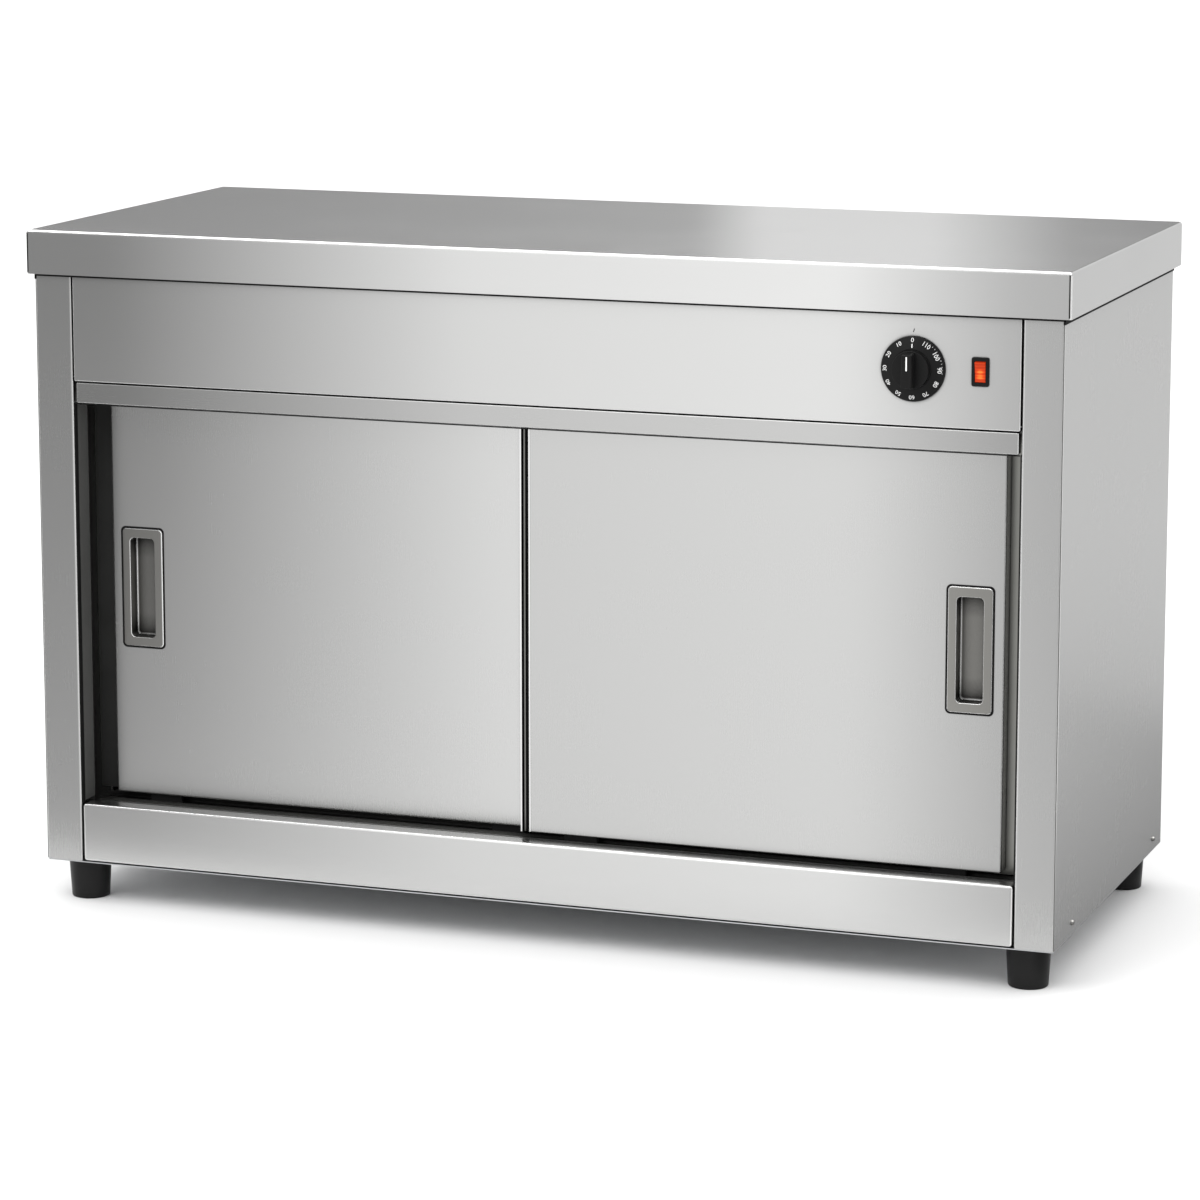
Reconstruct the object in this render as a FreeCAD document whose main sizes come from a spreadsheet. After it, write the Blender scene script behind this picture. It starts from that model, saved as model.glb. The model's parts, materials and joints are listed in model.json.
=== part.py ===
import FreeCAD, Part
import math
import os

import Sketcher

# Plate warmer cabinet: a low stainless hot cupboard with two sliding doors.
# Millimetres. +X is to the right seen from the front, the front faces -Y, +Z is up.
# The origin lies on the floor, at the middle of the whole object's outline in plan.

Vector = FreeCAD.Vector

# Driving dimensions
SIZES = {
    # body
    "body_width": 1200, "body_depth": 520, "body_height": 685,
    "sheet": 1.2, "fold": 3, "small_fold": 2,
    "post_width": 45, "post_return": 36, "rear_flange": 20,
    "plate_inset": 0.4, "pan_flange": 25, "pan_flange_inset": 15, "butt_gap": 1,
    # worktop
    "top_thickness": 50, "top_side_lip": 8, "top_front_lip": 6, "top_back_lip": 6,
    "top_sheet": 1.5, "top_fold": 4, "top_hem_gap": 0.5,
    "channel_width": 60, "channel_web": 36, "channel_depth": 25, "channel_inset": 15, "channel_pitch": 400,
    # fascia and upper rail
    "rail_height": 24, "rail_setback": 1.5, "rail_lip": 10, "rail_end_gap": 3.2,
    "fascia_seam": 1.3, "fascia_depth": 14, "fascia_end_gap": 1.4,
    # bottom rail and lower track
    "bottom_rail_height": 70, "bottom_rail_depth": 21, "bottom_rail_end_gap": 1.3, "rail_fold": 4,
    "track_lead": 1.2, "front_lip_rise": 0.5, "middle_lip_drop": 1.5, "land_drop": 4, "slot_drop": 12,
    "track_tongue": 13, "track_rear_gap": 0.6,
    # doors
    "door_lift": 5, "door_drop": 129, "door_lap": 18, "door_thickness": 18, "door_sheet": 1.0, "door_fold": 2.2,
    "front_door_y": 28, "door_pass_gap": 4, "door_edge_gap": 22, "door_overlap": 25,
    "inner_skin_inset": 1.5,
    # flush handle
    "handle_width": 50, "handle_height": 138, "handle_raise": 2, "handle_bevel": 1.4, "handle_corner": 4,
    "cup_width": 30, "cup_height": 116, "cup_depth": 14.4, "cup_wall": 1.0, "cup_corner": 5, "cup_floor_fold": 3,
    "handle_inset": 38, "handle_lift": 3.5, "cutout_gap": 0.3,
    # closing strip on the front door
    "strip_width": 10, "strip_lip": 1.8, "strip_groove": 1.7, "strip_setback": 2.5, "strip_depth": 13,
    "strip_rib_setback": 5, "seal_setback": 8, "strip_web": 1.5,
    # upper track, hangers and rollers
    "upstand": 8, "track_height": 38, "roller_radius": 11.5, "groove_radius": 9.5, "roller_width": 7,
    "groove_width": 3, "track_gap": 0.3, "pin_radius": 2.5, "running_gap": 0.05, "pin_head_radius": 4,
    "pin_head": 1.5, "side_play": 0.3, "hanger_plate": 2, "hanger_width": 36, "hanger_grip": 34,
    "hanger_top": 8, "hanger_inset": 80, "hanger_gap": 1.2, "hanger_corner": 5,
    # lower guide shoes
    "shoe_length": 40, "shoe_width": 8, "shoe_play": 1, "shoe_lift": 1.5, "shoe_inset": 60, "shoe_round": 2,
    # inner box
    "wall": 51, "back_wall": 45, "ceiling_drop": 4, "deck_rise": 1.2, "shelf_lift": 0.4,
    "tray_flange": 20, "shelf_gap": 1.5, "shelf_setback": 14, "support_leg": 12, "support_inset": 30,
    "jamb_lap": 10, "jamb_leg": 20, "seal_sheet": 1.4, "seal_lap": 11, "seal_hold": 14,
    "wall_duct": 50, "slab_lift": 36, "slab_gap": 1, "top_slab": 40, "slab_notch": 10,
    "deck_slot_length": 60, "deck_slot_width": 6, "deck_slot_corner": 2.5, "deck_slot_pitch": 130,
    "deck_row_pitch": 90,
    # heating element
    "shield_inset": 49, "shield_height": 11, "shield_margin": 35, "element_radius": 4, "element_pitch": 80,
    "element_end_gap": 129, "element_lift": 14, "element_out": 11, "bar_sheet": 3,
    "bar_margin": 12, "bar_inset": 120, "clip_gap": 0.1, "bush_radius": 7, "bush_length": 6,
    "bush_flange_radius": 11, "bush_flange": 2,
    # thermostat and dial
    "dial_inset": 164, "control_lift": 1.5, "dial_radius": 35, "skirt_gap": 1, "skirt_rim": 2.5,
    "skirt_rise": 4, "boss_radius": 20.5, "boss_height": 14, "grip_width": 12.6, "grip_length": 38,
    "knob_reach": 28, "grip_round": 1.5, "spindle_radius": 3, "spindle_fit": 0.05, "spindle_in": 20,
    "spindle_out": 16, "thermostat_width": 42, "thermostat_height": 34, "thermostat_depth": 30,
    "thermostat_corner": 3, "bushing_radius": 5, "bushing_gap": 0.5, "bushing_out": 0.6,
    "bulb_radius": 3, "bulb_length": 90, "capillary_radius": 1.25, "bulb_drop": 14, "bulb_back": 12,
    "capillary_shift": 56, "capillary_offset": 12, "capillary_low": 8, "capillary_out": 34, "capillary_bend": 20,
    "bulb_lead": 29,
    "clip_width": 8, "clip_sheet": 1.5, "clip_place": 20,
    # rocker switch
    "switch_inset": 90.5, "bezel_width": 19, "bezel_height": 31, "bezel_raise": 2, "bezel_corner": 2.2,
    "bezel_round": 0.8, "switch_body_width": 14, "switch_body_height": 27.4, "switch_body_depth": 26,
    "rocker_width": 11.4, "rocker_height": 21.6, "rocker_play": 0.3, "rocker_proud": 0.6,
    "rocker_dip": 1.2, "rocker_shoulder": 2.4, "rocker_depth": 9, "rocker_stem": 10, "rocker_tilt": 8,
    "rocker_pin": 1.2, "rocker_pin_length": 0.9, "pocket_depth": 17, "panel_cut_gap": 0.2,
    "blade_width": 6, "blade_sheet": 0.8, "blade_length": 9, "blade_pitch": 10,
    # terminal block, gland and looms
    "terminal_inset": 270, "terminal_drop": 5, "terminal_length": 64, "terminal_height": 22, "terminal_depth": 20,
    "terminal_pitch": 12.8, "terminal_bore": 2.6,
    "gland_inset": 120, "gland_drop": 45, "gland_thread": 10, "gland_collar": 14, "gland_collar_length": 6,
    "gland_cap": 12, "gland_reach": 24, "gland_bore": 5, "gland_inside": 16, "nut_thickness": 5,
    "nut_radius": 15, "hole_gap": 0.3, "loom_radius": 2, "loom_bend": 24, "loom_rise_y": 45, "loom_step": 12,
    "lead_start": 27, "lead_step": 6,
    # back panel
    "back_edge": 2, "vent_length": 60, "vent_width": 5, "vent_corner": 2, "vent_pitch": 12, "vent_drop": 25,
    "vent_inset": 350,
    # screws
    "screw_head_radius": 3.6, "screw_top_radius": 2.6, "screw_head": 2.2, "screw_radius": 2,
    "screw_length": 8, "screw_inset": 11,
    "side_screw_high": 14, "side_screw_front": 80, "side_screw_rear": 45,
    # feet
    "foot_height": 48, "foot_radius": 25, "foot_low_radius": 22, "foot_inset": 37, "foot_round": 2,
    "foot_web": 16, "foot_socket": 9, "bolt_radius": 3, "bolt_head": 4, "bolt_flat_radius": 5.6,
    "bolt_nut": 5, "bolt_end": 4, "overrun": 5,
}

# Places worked out from the driving dimensions
PLACES = {
    "half": "dim.body_width/2",
    "front": "(dim.knob_reach - dim.body_depth - dim.gland_reach)/2",
    "back": "front + dim.body_depth",
    "base": "dim.foot_height",
    "floor_plate": "base + dim.sheet",
    "brim": "base + dim.body_height",
    "lid": "brim + dim.top_thickness",
    "roof": "lid - dim.top_sheet",
    "skin": "half - dim.sheet",
    "inside": "skin - dim.sheet",
    "back_skin": "back - dim.sheet",
    "post": "half - dim.post_width",
    "ledge": "base + dim.bottom_rail_height",
    "door_low": "ledge + dim.door_lift",
    "door_high": "brim - dim.door_drop",
    "door_mid": "(door_low + door_high)/2 + dim.handle_lift",
    "rail_low": "door_high - dim.door_lap",
    "rail_top": "rail_low + dim.rail_height",
    "track_roof": "rail_top + dim.track_height",
    "upstand_top": "rail_top + dim.upstand",
    "roller_z": "upstand_top + dim.track_gap + dim.groove_radius",
    "door_side": "post - dim.door_edge_gap",
    "door_inner": "dim.door_overlap/2",
    "front_door": "front + dim.front_door_y",
    "front_door_back": "front_door + dim.door_thickness",
    "rear_door": "front_door_back + dim.door_pass_gap",
    "rear_door_back": "rear_door + dim.door_thickness",
    "between_doors": "(front_door_back + rear_door)/2",
    "front_rail_y": "front_door + dim.door_thickness/2",
    "rear_rail_y": "rear_door + dim.door_thickness/2",
    "rear_wall_y": "front_door_back + dim.hanger_plate + dim.hanger_gap",
    "liner_x": "half - dim.wall",
    "liner_front": "rear_door_back + dim.hanger_plate + dim.hanger_gap",
    "liner_back": "back - dim.back_wall",
    "ceiling": "door_high - dim.ceiling_drop",
    "slab_top": "ceiling + dim.sheet + dim.top_slab",
    "deck": "ledge + dim.deck_rise",
    "shelf": "(deck + ceiling)/2 + dim.shelf_lift",
    "ledge_end": "front + dim.bottom_rail_depth",
    "lip_y": "ledge_end + dim.track_lead",
    "lip_top": "ledge + dim.front_lip_rise",
    "middle_lip_top": "ledge - dim.middle_lip_drop",
    "land": "ledge - dim.land_drop",
    "slot_floor": "ledge - dim.slot_drop",
    "slot_half": "dim.shoe_width/2 + dim.shoe_play",
    "track_leg": "rear_door_back + dim.track_rear_gap",
    "dial_x": "half - dim.dial_inset",
    "dial_z": "(rail_top + brim)/2 + dim.control_lift",
    "switch_x": "half - dim.switch_inset",
    "thermostat_back": "front + dim.sheet + dim.thermostat_depth",
    "shield": "floor_plate + dim.shield_height",
    "element_z": "shield + dim.element_lift",
    "element_y": "(liner_front + liner_back)/2",
    "element_tip": "liner_x + dim.element_out",
    "element_turn": "liner_x - dim.element_end_gap",
    "bar_x": "element_turn - dim.bar_inset",
    "bulb_y": "liner_back - dim.bulb_back",
    "bulb_z": "ceiling - dim.bulb_drop",
    "capillary_x": "dial_x - dim.capillary_shift",
    "bulb_start": "capillary_x - dim.bulb_lead",
    "bulb_end": "bulb_start - dim.bulb_length",
    "capillary_z": "dial_z - dim.capillary_low",
    "foot_x": "half - dim.foot_inset",
    "web_low": "base - dim.foot_web",
    "terminal_x": "half - dim.terminal_inset",
    "terminal_z": "brim - dim.terminal_drop",
    "terminal_low": "terminal_z - dim.terminal_height/2",
    "terminal_y": "back_skin - dim.terminal_depth/2",
    "gland_x": "half - dim.gland_inset",
    "gland_z": "brim - dim.gland_drop",
    "vent_x": "half - dim.vent_inset",
    "vent_z": "brim - dim.vent_drop",
    "slab_loom": "slab_top + dim.loom_radius",
    "roof_loom": "track_roof + dim.loom_radius",
    "duct_y": "liner_back - dim.wall_duct + dim.lead_step",
}

# Shares of the height of the back panel at which its edge screws sit
BACK_SCREW_SHARES = (0.05, 0.35, 0.65, 0.95)
# Share of the shorter neighbouring run that a bend in a tube may use
BEND_SHARE = 0.45
# Legs of the heating element and holes of its bars, in pitches from the middle
LEG_STEPS = (-1.5, -0.5, 0.5, 1.5)
# Warm air slots of the deck and shelf, in pitches from the middle
SLOT_COLUMNS = (-3, -2, -1, 0, 1, 2, 3)
SLOT_ROWS = (-1.5, -0.5, 0.5, 1.5)
VENT_ROWS = (-1.5, -0.5, 0.5, 1.5)
TERMINAL_POLES = (-2, -1, 0, 1, 2)

document = FreeCAD.newDocument("plate_warmer_cabinet")
dim = document.addObject("Spreadsheet::Sheet", "dim")
at = document.addObject("Spreadsheet::Sheet", "at")
for sheet, cells, sign in ((dim, SIZES, ""), (at, PLACES, "=")):
    for row, (alias, content) in enumerate(cells.items(), 1):
        sheet.set("A%d" % row, alias)
        sheet.set("B%d" % row, "%s%s" % (sign, content))
        sheet.setAlias("B%d" % row, alias)
    document.recompute()

nodes = {}
SIDES = {"left": -1, "right": 1}
TURNS = {
    "x": FreeCAD.Rotation(Vector(0, 1, 0), 90),
    "y": FreeCAD.Rotation(Vector(1, 0, 0), -90),
    "z": FreeCAD.Rotation(),
}


def value(expression):
    """The number that an expression in the sheets' names comes to."""
    return float(dim.evalExpression(expression))


def put(item, x, y, z):
    """Ties an object's place to three expressions."""
    for letter, expression in zip("xyz", (x, y, z)):
        item.setExpression(".Placement.Base." + letter, expression)


def keep(item, name):
    """Names a finished sub-part and puts it on the list of nodes."""
    item.Label = name
    nodes[name] = item
    return item


def across(side, expression):
    """An X place on the left (-1) or right (1) side."""
    return "(%s)" % expression if side > 0 else "-(%s)" % expression


def span(side, low, high):
    """A pair of X places, mirrored to the left side when asked."""
    return (low, high) if side > 0 else (across(side, high), across(side, low))


def box(x0, x1, y0, y1, z0, z1, name="Block"):
    """A plain box between three pairs of places."""
    item = document.addObject("Part::Box", name)
    item.setExpression("Length", "(%s) - (%s)" % (x1, x0))
    item.setExpression("Width", "(%s) - (%s)" % (y1, y0))
    item.setExpression("Height", "(%s) - (%s)" % (z1, z0))
    put(item, x0, y0, z0)
    return item


def rod(axis, radius, start, end, u, v, name="Rod"):
    """A cylinder along an axis, at u and v across it, in X, Y, Z order."""
    item = document.addObject("Part::Cylinder", name)
    item.Placement = FreeCAD.Placement(Vector(), TURNS[axis])
    item.setExpression("Radius", radius)
    item.setExpression("Height", "(%s) - (%s)" % (end, start))
    place = {"x": (start, u, v), "y": (u, start, v), "z": (u, v, start)}[axis]
    put(item, *place)
    return item


def hexagon(axis, radius, start, end, u, v, name="Hexagon"):
    """A six-sided prism along an axis."""
    item = document.addObject("Part::Prism", name)
    item.Polygon = 6
    item.Placement = FreeCAD.Placement(Vector(), TURNS[axis])
    item.setExpression("Circumradius", radius)
    item.setExpression("Height", "(%s) - (%s)" % (end, start))
    place = {"x": (start, u, v), "y": (u, start, v), "z": (u, v, start)}[axis]
    put(item, *place)
    return item


def joined(parts, name="Joined"):
    """One solid from touching parts."""
    item = document.addObject("Part::MultiFuse", name)
    item.Shapes = parts
    return item


def grouped(parts, name="Group"):
    """Separate solids kept as one object."""
    item = document.addObject("Part::Compound", name)
    item.Links = parts
    return item


def cut(base, tools, name="Cut"):
    """A base with one or more tools taken out of it."""
    item = document.addObject("Part::Cut", name)
    item.Base = base
    item.Tool = tools[0] if len(tools) == 1 else grouped(tools, name + "Tools")
    return item


def outline(body, role, points, name="Outline"):
    """A closed sketch through points whose two places are each tied to an expression."""
    drawing = body.newObject("Sketcher::SketchObject", name)
    plane = [item for item in body.Origin.OriginFeatures if item.Role == role][0]
    drawing.AttachmentSupport = [(plane, "")]
    drawing.MapMode = "FlatFace"
    corners = [Vector(value(u), value(v), 0) for u, v in points]
    for here, there in zip(corners, corners[1:] + corners[:1]):
        drawing.addGeometry(Part.LineSegment(here, there))
    for index, (point, corner) in enumerate(zip(points, corners)):
        drawing.addConstraint(Sketcher.Constraint("Coincident", index, 2, (index + 1) % len(points), 1))
        for kind, expression, number in zip(("DistanceX", "DistanceY"), point, corner):
            tie = drawing.addConstraint(Sketcher.Constraint(kind, -1, 1, index, 1, number))
            drawing.setExpression("Constraints[%d]" % tie, expression)
    return drawing


def chosen(shape, test):
    """The names of the edges that pass a test."""
    return ["Edge%d" % number for number, edge in enumerate(shape.Edges, 1) if test(edge)]


def soften(body, base, test, radius, kind="Fillet"):
    """Rounds or bevels the edges of a body that pass a test."""
    document.recompute()
    names = chosen(base.Shape, test)
    feature = body.newObject("PartDesign::" + kind, kind)
    feature.Base = (base, names)
    feature.setExpression("Radius" if kind == "Fillet" else "Size", radius)
    return feature


def grown(role, points, start, end, name="Profile"):
    """A closed outline on a plane, raised along the plane's axis from start to end."""
    body = document.addObject("PartDesign::Body", name)
    drawing = outline(body, role, points)
    feature = body.newObject("PartDesign::Pad", name + "Pad")
    feature.Profile = drawing
    feature.setExpression("Length", "(%s) - (%s)" % (end, start))
    feature.Reversed = role == "XZ_Plane"
    letter = {"XY_Plane": "z", "XZ_Plane": "y", "YZ_Plane": "x"}[role]
    body.setExpression(".Placement.Base." + letter, start)
    return body, feature


def level(role, edge):
    """The two heights of an edge's ends along the axis of a plane."""
    letter = {"XY_Plane": "z", "XZ_Plane": "y", "YZ_Plane": "x"}[role]
    return [getattr(vertex.Point, letter) for vertex in (edge.firstVertex(), edge.lastVertex())]


def same(first, second):
    return math.isclose(first, second, abs_tol=1e-6)


def block(role, u0, u1, v0, v1, start, end, corner=None, rim=None, rim_end=0, kind="Fillet", name="Body"):
    """A box with rounded corners along its axis and one softened rim, at its start (0) or end (1)."""
    points = [(u0, v0), (u1, v0), (u1, v1), (u0, v1)]
    body, feature = grown(role, points, start, end, name)
    length = value("(%s) - (%s)" % (end, start))
    edge_level = rim_end * length

    def upright(edge):
        first, last = level(role, edge)
        return not same(first, last)

    def on_rim(edge):
        first, last = level(role, edge)
        return same(first, edge_level) and same(last, edge_level)

    if corner and corner == rim:
        soften(body, feature, lambda edge: upright(edge) or on_rim(edge), rim)
        return body
    if corner:
        feature = soften(body, feature, upright, corner)
    if rim:
        soften(body, feature, on_rim, rim, kind)
    return body


def tray(role, u0, u1, v0, v1, start, end, fold, sheet="dim.sheet", open_end=1, name="Tray"):
    """A folded sheet tray, open at its start (0) or end (1)."""
    outer = block(role, u0, u1, v0, v1, start, end, fold, fold, 1 - open_end, name=name)
    inside = ["(%s) + (%s)" % (u0, sheet), "(%s) - (%s)" % (u1, sheet),
              "(%s) + (%s)" % (v0, sheet), "(%s) - (%s)" % (v1, sheet)]
    if open_end:
        depth = ["(%s) + (%s)" % (start, sheet), "(%s) + dim.overrun" % end]
    else:
        depth = ["(%s) - dim.overrun" % start, "(%s) - (%s)" % (end, sheet)]
    inner_fold = "(%s) - (%s)" % (fold, sheet)
    inner = block(role, *inside, *depth, inner_fold, inner_fold, 1 - open_end, name=name + "Inside")
    return cut(outer, [inner], name + "Cut")


def folded(role, points, start, end, folds, name="Folded"):
    """A folded section raised along an axis; folds ties a radius to the numbers of its corners."""
    body, feature = grown(role, points, start, end, name)
    plain = {"XY_Plane": ("x", "y"), "XZ_Plane": ("x", "z"), "YZ_Plane": ("y", "z")}[role]
    for radius, corners in folds.items():
        marks = [(value(points[corner][0]), value(points[corner][1])) for corner in corners]

        def at_corner(edge):
            first, last = level(role, edge)
            point = edge.firstVertex().Point
            here = tuple(getattr(point, letter) for letter in plain)
            return not same(first, last) and any(same(here[0], u) and same(here[1], v) for u, v in marks)

        feature = soften(body, feature, at_corner, radius)
    return body


def turned(role, points, name="Turned"):
    """A closed outline turned a full circle: about Y on the YZ plane, about Z on the XZ plane."""
    body = document.addObject("PartDesign::Body", name)
    drawing = outline(body, role, points)
    feature = body.newObject("PartDesign::Revolution", name + "Turn")
    feature.Profile = drawing
    feature.ReferenceAxis = (drawing, ["H_Axis" if role == "YZ_Plane" else "V_Axis"])
    feature.Angle = 360
    return body


def tube(points, radius, largest_bend, name):
    """A round tube along straight runs that are joined by tangent arcs."""
    corners = [Vector(*[value(place) for place in point]) for point in points]
    edges = []
    start = corners[0]
    for before, corner, after in zip(corners, corners[1:], corners[2:]):
        arriving = (corner - before).normalize()
        leaving = (after - corner).normalize()
        half_turn = arriving.getAngle(leaving) / 2
        shorter_run = min((corner - before).Length, (after - corner).Length)
        bend = min(BEND_SHARE * shorter_run / math.tan(half_turn), value(largest_bend))
        reach = bend * math.tan(half_turn)
        entry = corner - arriving * reach
        leave = corner + leaving * reach
        bulge = (leaving - arriving).normalize()
        crown = corner + bulge * (bend / math.cos(half_turn) - bend)
        edges.append(Part.LineSegment(start, entry).toShape())
        edges.append(Part.Arc(entry, crown, leave).toShape())
        start = leave
        print("bend radius of %s: %.1f" % (name, bend))
    edges.append(Part.LineSegment(start, corners[-1]).toShape())
    path = Part.Wire(edges)
    along = (corners[1] - corners[0]).normalize()
    rim = Part.Wire([Part.Circle(corners[0], along, value(radius)).toShape()])
    item = document.addObject("Part::Feature", name)
    item.Shape = path.makePipeShell([rim], True, False)
    print("volume of %s against section times length: %.4f"
          % (name, item.Shape.Volume / (math.pi * value(radius) ** 2 * path.Length)))
    return item


# Body panels
def worktop():
    """A shallow tray upside down, with a hem turned in under its rim."""
    rim = ("-at.half - dim.top_side_lip", "at.half + dim.top_side_lip",
           "at.front - dim.top_front_lip", "at.back + dim.top_back_lip")
    top = tray("XY_Plane", *rim, "at.brim", "at.lid", "dim.top_fold", "dim.top_sheet", 0, "Worktop")
    hem = box(rim[0] + " + dim.top_sheet", rim[1] + " - dim.top_sheet",
              rim[2] + " + dim.top_sheet", rim[3] + " - dim.top_sheet",
              "at.brim", "at.brim + dim.top_sheet", "Hem")
    hole = box("-at.half - dim.top_hem_gap", "at.half + dim.top_hem_gap",
               "at.front - dim.top_hem_gap", "at.back + dim.top_hem_gap",
               "at.brim - dim.overrun", "at.brim + dim.top_sheet + dim.overrun", "HemHole")
    return joined([top, cut(hem, [hole])])


def channel(step):
    """A top-hat stiffener from front to back under the worktop."""
    middle = "%d*dim.channel_pitch" % step
    wide = "dim.channel_width/2"
    web = "dim.channel_web/2"
    low = "at.roof - dim.channel_depth"
    half_section = [(wide, "at.roof"), (wide, "at.roof - dim.sheet"), (web, "at.roof - dim.sheet"), (web, low)]
    inner = [(web + " - dim.sheet", low + " + dim.sheet"), (web + " - dim.sheet", "at.roof")]
    ring = half_section + [("-" + u, v) for u, v in reversed(half_section)]
    ring += [("dim.sheet - " + web, "at.roof"), ("dim.sheet - " + web, low + " + dim.sheet")] + inner
    points = [("%s + %s" % (middle, u), v) for u, v in ring]
    folds = {"dim.small_fold": [3, 4], "dim.small_fold - dim.sheet": [9, 10]}
    ends = ("at.front + dim.channel_inset", "at.back - dim.channel_inset")
    return folded("XZ_Plane", points, *ends, folds, "Channel")


def side_screw_places():
    return ("at.front + dim.side_screw_front", "at.back - dim.side_screw_rear")


def back_screw_places():
    return ["at.floor_plate + %s*(at.roof - at.floor_plate)" % share for share in BACK_SCREW_SHARES]


def screw_holes(side, axis):
    """Clearance holes for the side screws (x) or for the back screws (y) of one side."""
    radius = "dim.screw_radius + dim.hole_gap"
    if axis == "x":
        ends = span(side, "at.inside - dim.overrun", "at.half + dim.overrun")
        height = "at.base + dim.side_screw_high"
        return [rod("x", radius, *ends, place, height) for place in side_screw_places()]
    ends = ("at.back_skin - dim.overrun", "at.back + dim.overrun")
    place = across(side, "at.half - dim.screw_inset")
    return [rod("y", radius, *ends, place, height) for height in back_screw_places()]


def casing(side):
    """One side of the body, with its front post and rear flange folded from the same sheet."""
    rear = "at.half - dim.rear_flange"
    profile = [
        ("at.post", "at.front + dim.post_return"), ("at.post", "at.front"), ("at.half", "at.front"),
        ("at.half", "at.back_skin"), (rear, "at.back_skin"), (rear, "at.back_skin - dim.sheet"),
        ("at.skin", "at.back_skin - dim.sheet"), ("at.skin", "at.front + dim.sheet"),
        ("at.post + dim.sheet", "at.front + dim.sheet"), ("at.post + dim.sheet", "at.front + dim.post_return"),
    ]
    points = [(across(side, u), v) for u, v in profile]
    folds = {"dim.fold": [1, 2, 3], "dim.fold - dim.sheet": [6, 7, 8]}
    sheet_part = folded("XY_Plane", points, "at.floor_plate", "at.roof", folds, "Casing")
    return cut(sheet_part, screw_holes(side, "x") + screw_holes(side, "y"))


def back_panel():
    """The flat back with air slots and the cable inlet hole."""
    panel = box("dim.back_edge - at.half", "at.half - dim.back_edge", "at.back_skin", "at.back",
                "at.floor_plate", "at.roof", "Back")
    ends = ("at.back_skin - dim.overrun", "at.back + dim.overrun")
    tools = [rod("y", "dim.gland_thread + dim.hole_gap", *ends, "at.gland_x", "at.gland_z")]
    for side in SIDES.values():
        tools += screw_holes(side, "y")
        middle = "%d*at.vent_x" % side
        for step in VENT_ROWS:
            height = "at.vent_z + %s*dim.vent_pitch" % step
            tools.append(block("XZ_Plane", middle + " - dim.vent_length/2", middle + " + dim.vent_length/2",
                               height + " - dim.vent_width/2", height + " + dim.vent_width/2",
                               *ends, "dim.vent_corner", name="Vent"))
    return cut(panel, tools)


def fascia_panel():
    """The control panel, a shallow tray with two openings."""
    panel = tray("XZ_Plane", "dim.fascia_end_gap - at.post", "at.post - dim.fascia_end_gap",
                 "at.rail_top + dim.fascia_seam", "at.roof", "at.front", "at.front + dim.fascia_depth",
                 "dim.small_fold", name="Fascia")
    ends = ("at.front - dim.overrun", "at.front + dim.sheet + dim.overrun")
    bush_hole = rod("y", "dim.bushing_radius + dim.bushing_gap", *ends, "at.dial_x", "at.dial_z")
    wide = "(dim.switch_body_width/2 + dim.panel_cut_gap)"
    tall = "(dim.switch_body_height/2 + dim.panel_cut_gap)"
    switch_hole = box("at.switch_x - " + wide, "at.switch_x + " + wide, *ends,
                      "at.dial_z - " + tall, "at.dial_z + " + tall, "SwitchHole")
    return cut(panel, [bush_hole, switch_hole])


def top_track_front():
    """The rail over the doors with the front running edge folded behind it."""
    face = "at.front + dim.rail_setback"
    rail = tray("XZ_Plane", "dim.rail_end_gap - at.post", "at.post - dim.rail_end_gap",
                "at.rail_low", "at.rail_top", face, face + " + dim.rail_lip", "dim.small_fold", name="Rail")
    edge = "at.front_rail_y + dim.sheet/2"
    web = box("-at.post", "at.post", face + " + dim.rail_lip", edge, "at.rail_top - dim.sheet", "at.rail_top")
    run = box("-at.post", "at.post", edge + " - dim.sheet", edge, "at.rail_top", "at.upstand_top")
    return joined([rail, web, run])


def top_track_rear():
    """The rear running edge, hung from the front wall of the inner box."""
    edge = "at.rear_rail_y + dim.sheet/2"
    points = [
        ("at.rear_wall_y", "at.rail_top - dim.sheet"), (edge, "at.rail_top - dim.sheet"),
        (edge, "at.upstand_top"), (edge + " - dim.sheet", "at.upstand_top"),
        (edge + " - dim.sheet", "at.rail_top"), ("at.rear_wall_y + dim.sheet", "at.rail_top"),
        ("at.rear_wall_y + dim.sheet", "at.track_roof - dim.sheet"),
        ("at.liner_front", "at.track_roof - dim.sheet"),
        ("at.liner_front", "at.track_roof"), ("at.rear_wall_y", "at.track_roof"),
    ]
    folds = {"dim.small_fold": [0, 1, 9], "dim.small_fold - dim.sheet": [4, 5, 6]}
    return folded("YZ_Plane", points, "-at.skin", "at.skin", folds, "RearTrack")


def bottom_rail():
    """The plain rail under the doors, open at the back."""
    return tray("XZ_Plane", "dim.bottom_rail_end_gap - at.post", "at.post - dim.bottom_rail_end_gap",
                "at.floor_plate", "at.ledge", "at.front", "at.ledge_end", "dim.rail_fold", name="BottomRail")


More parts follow.
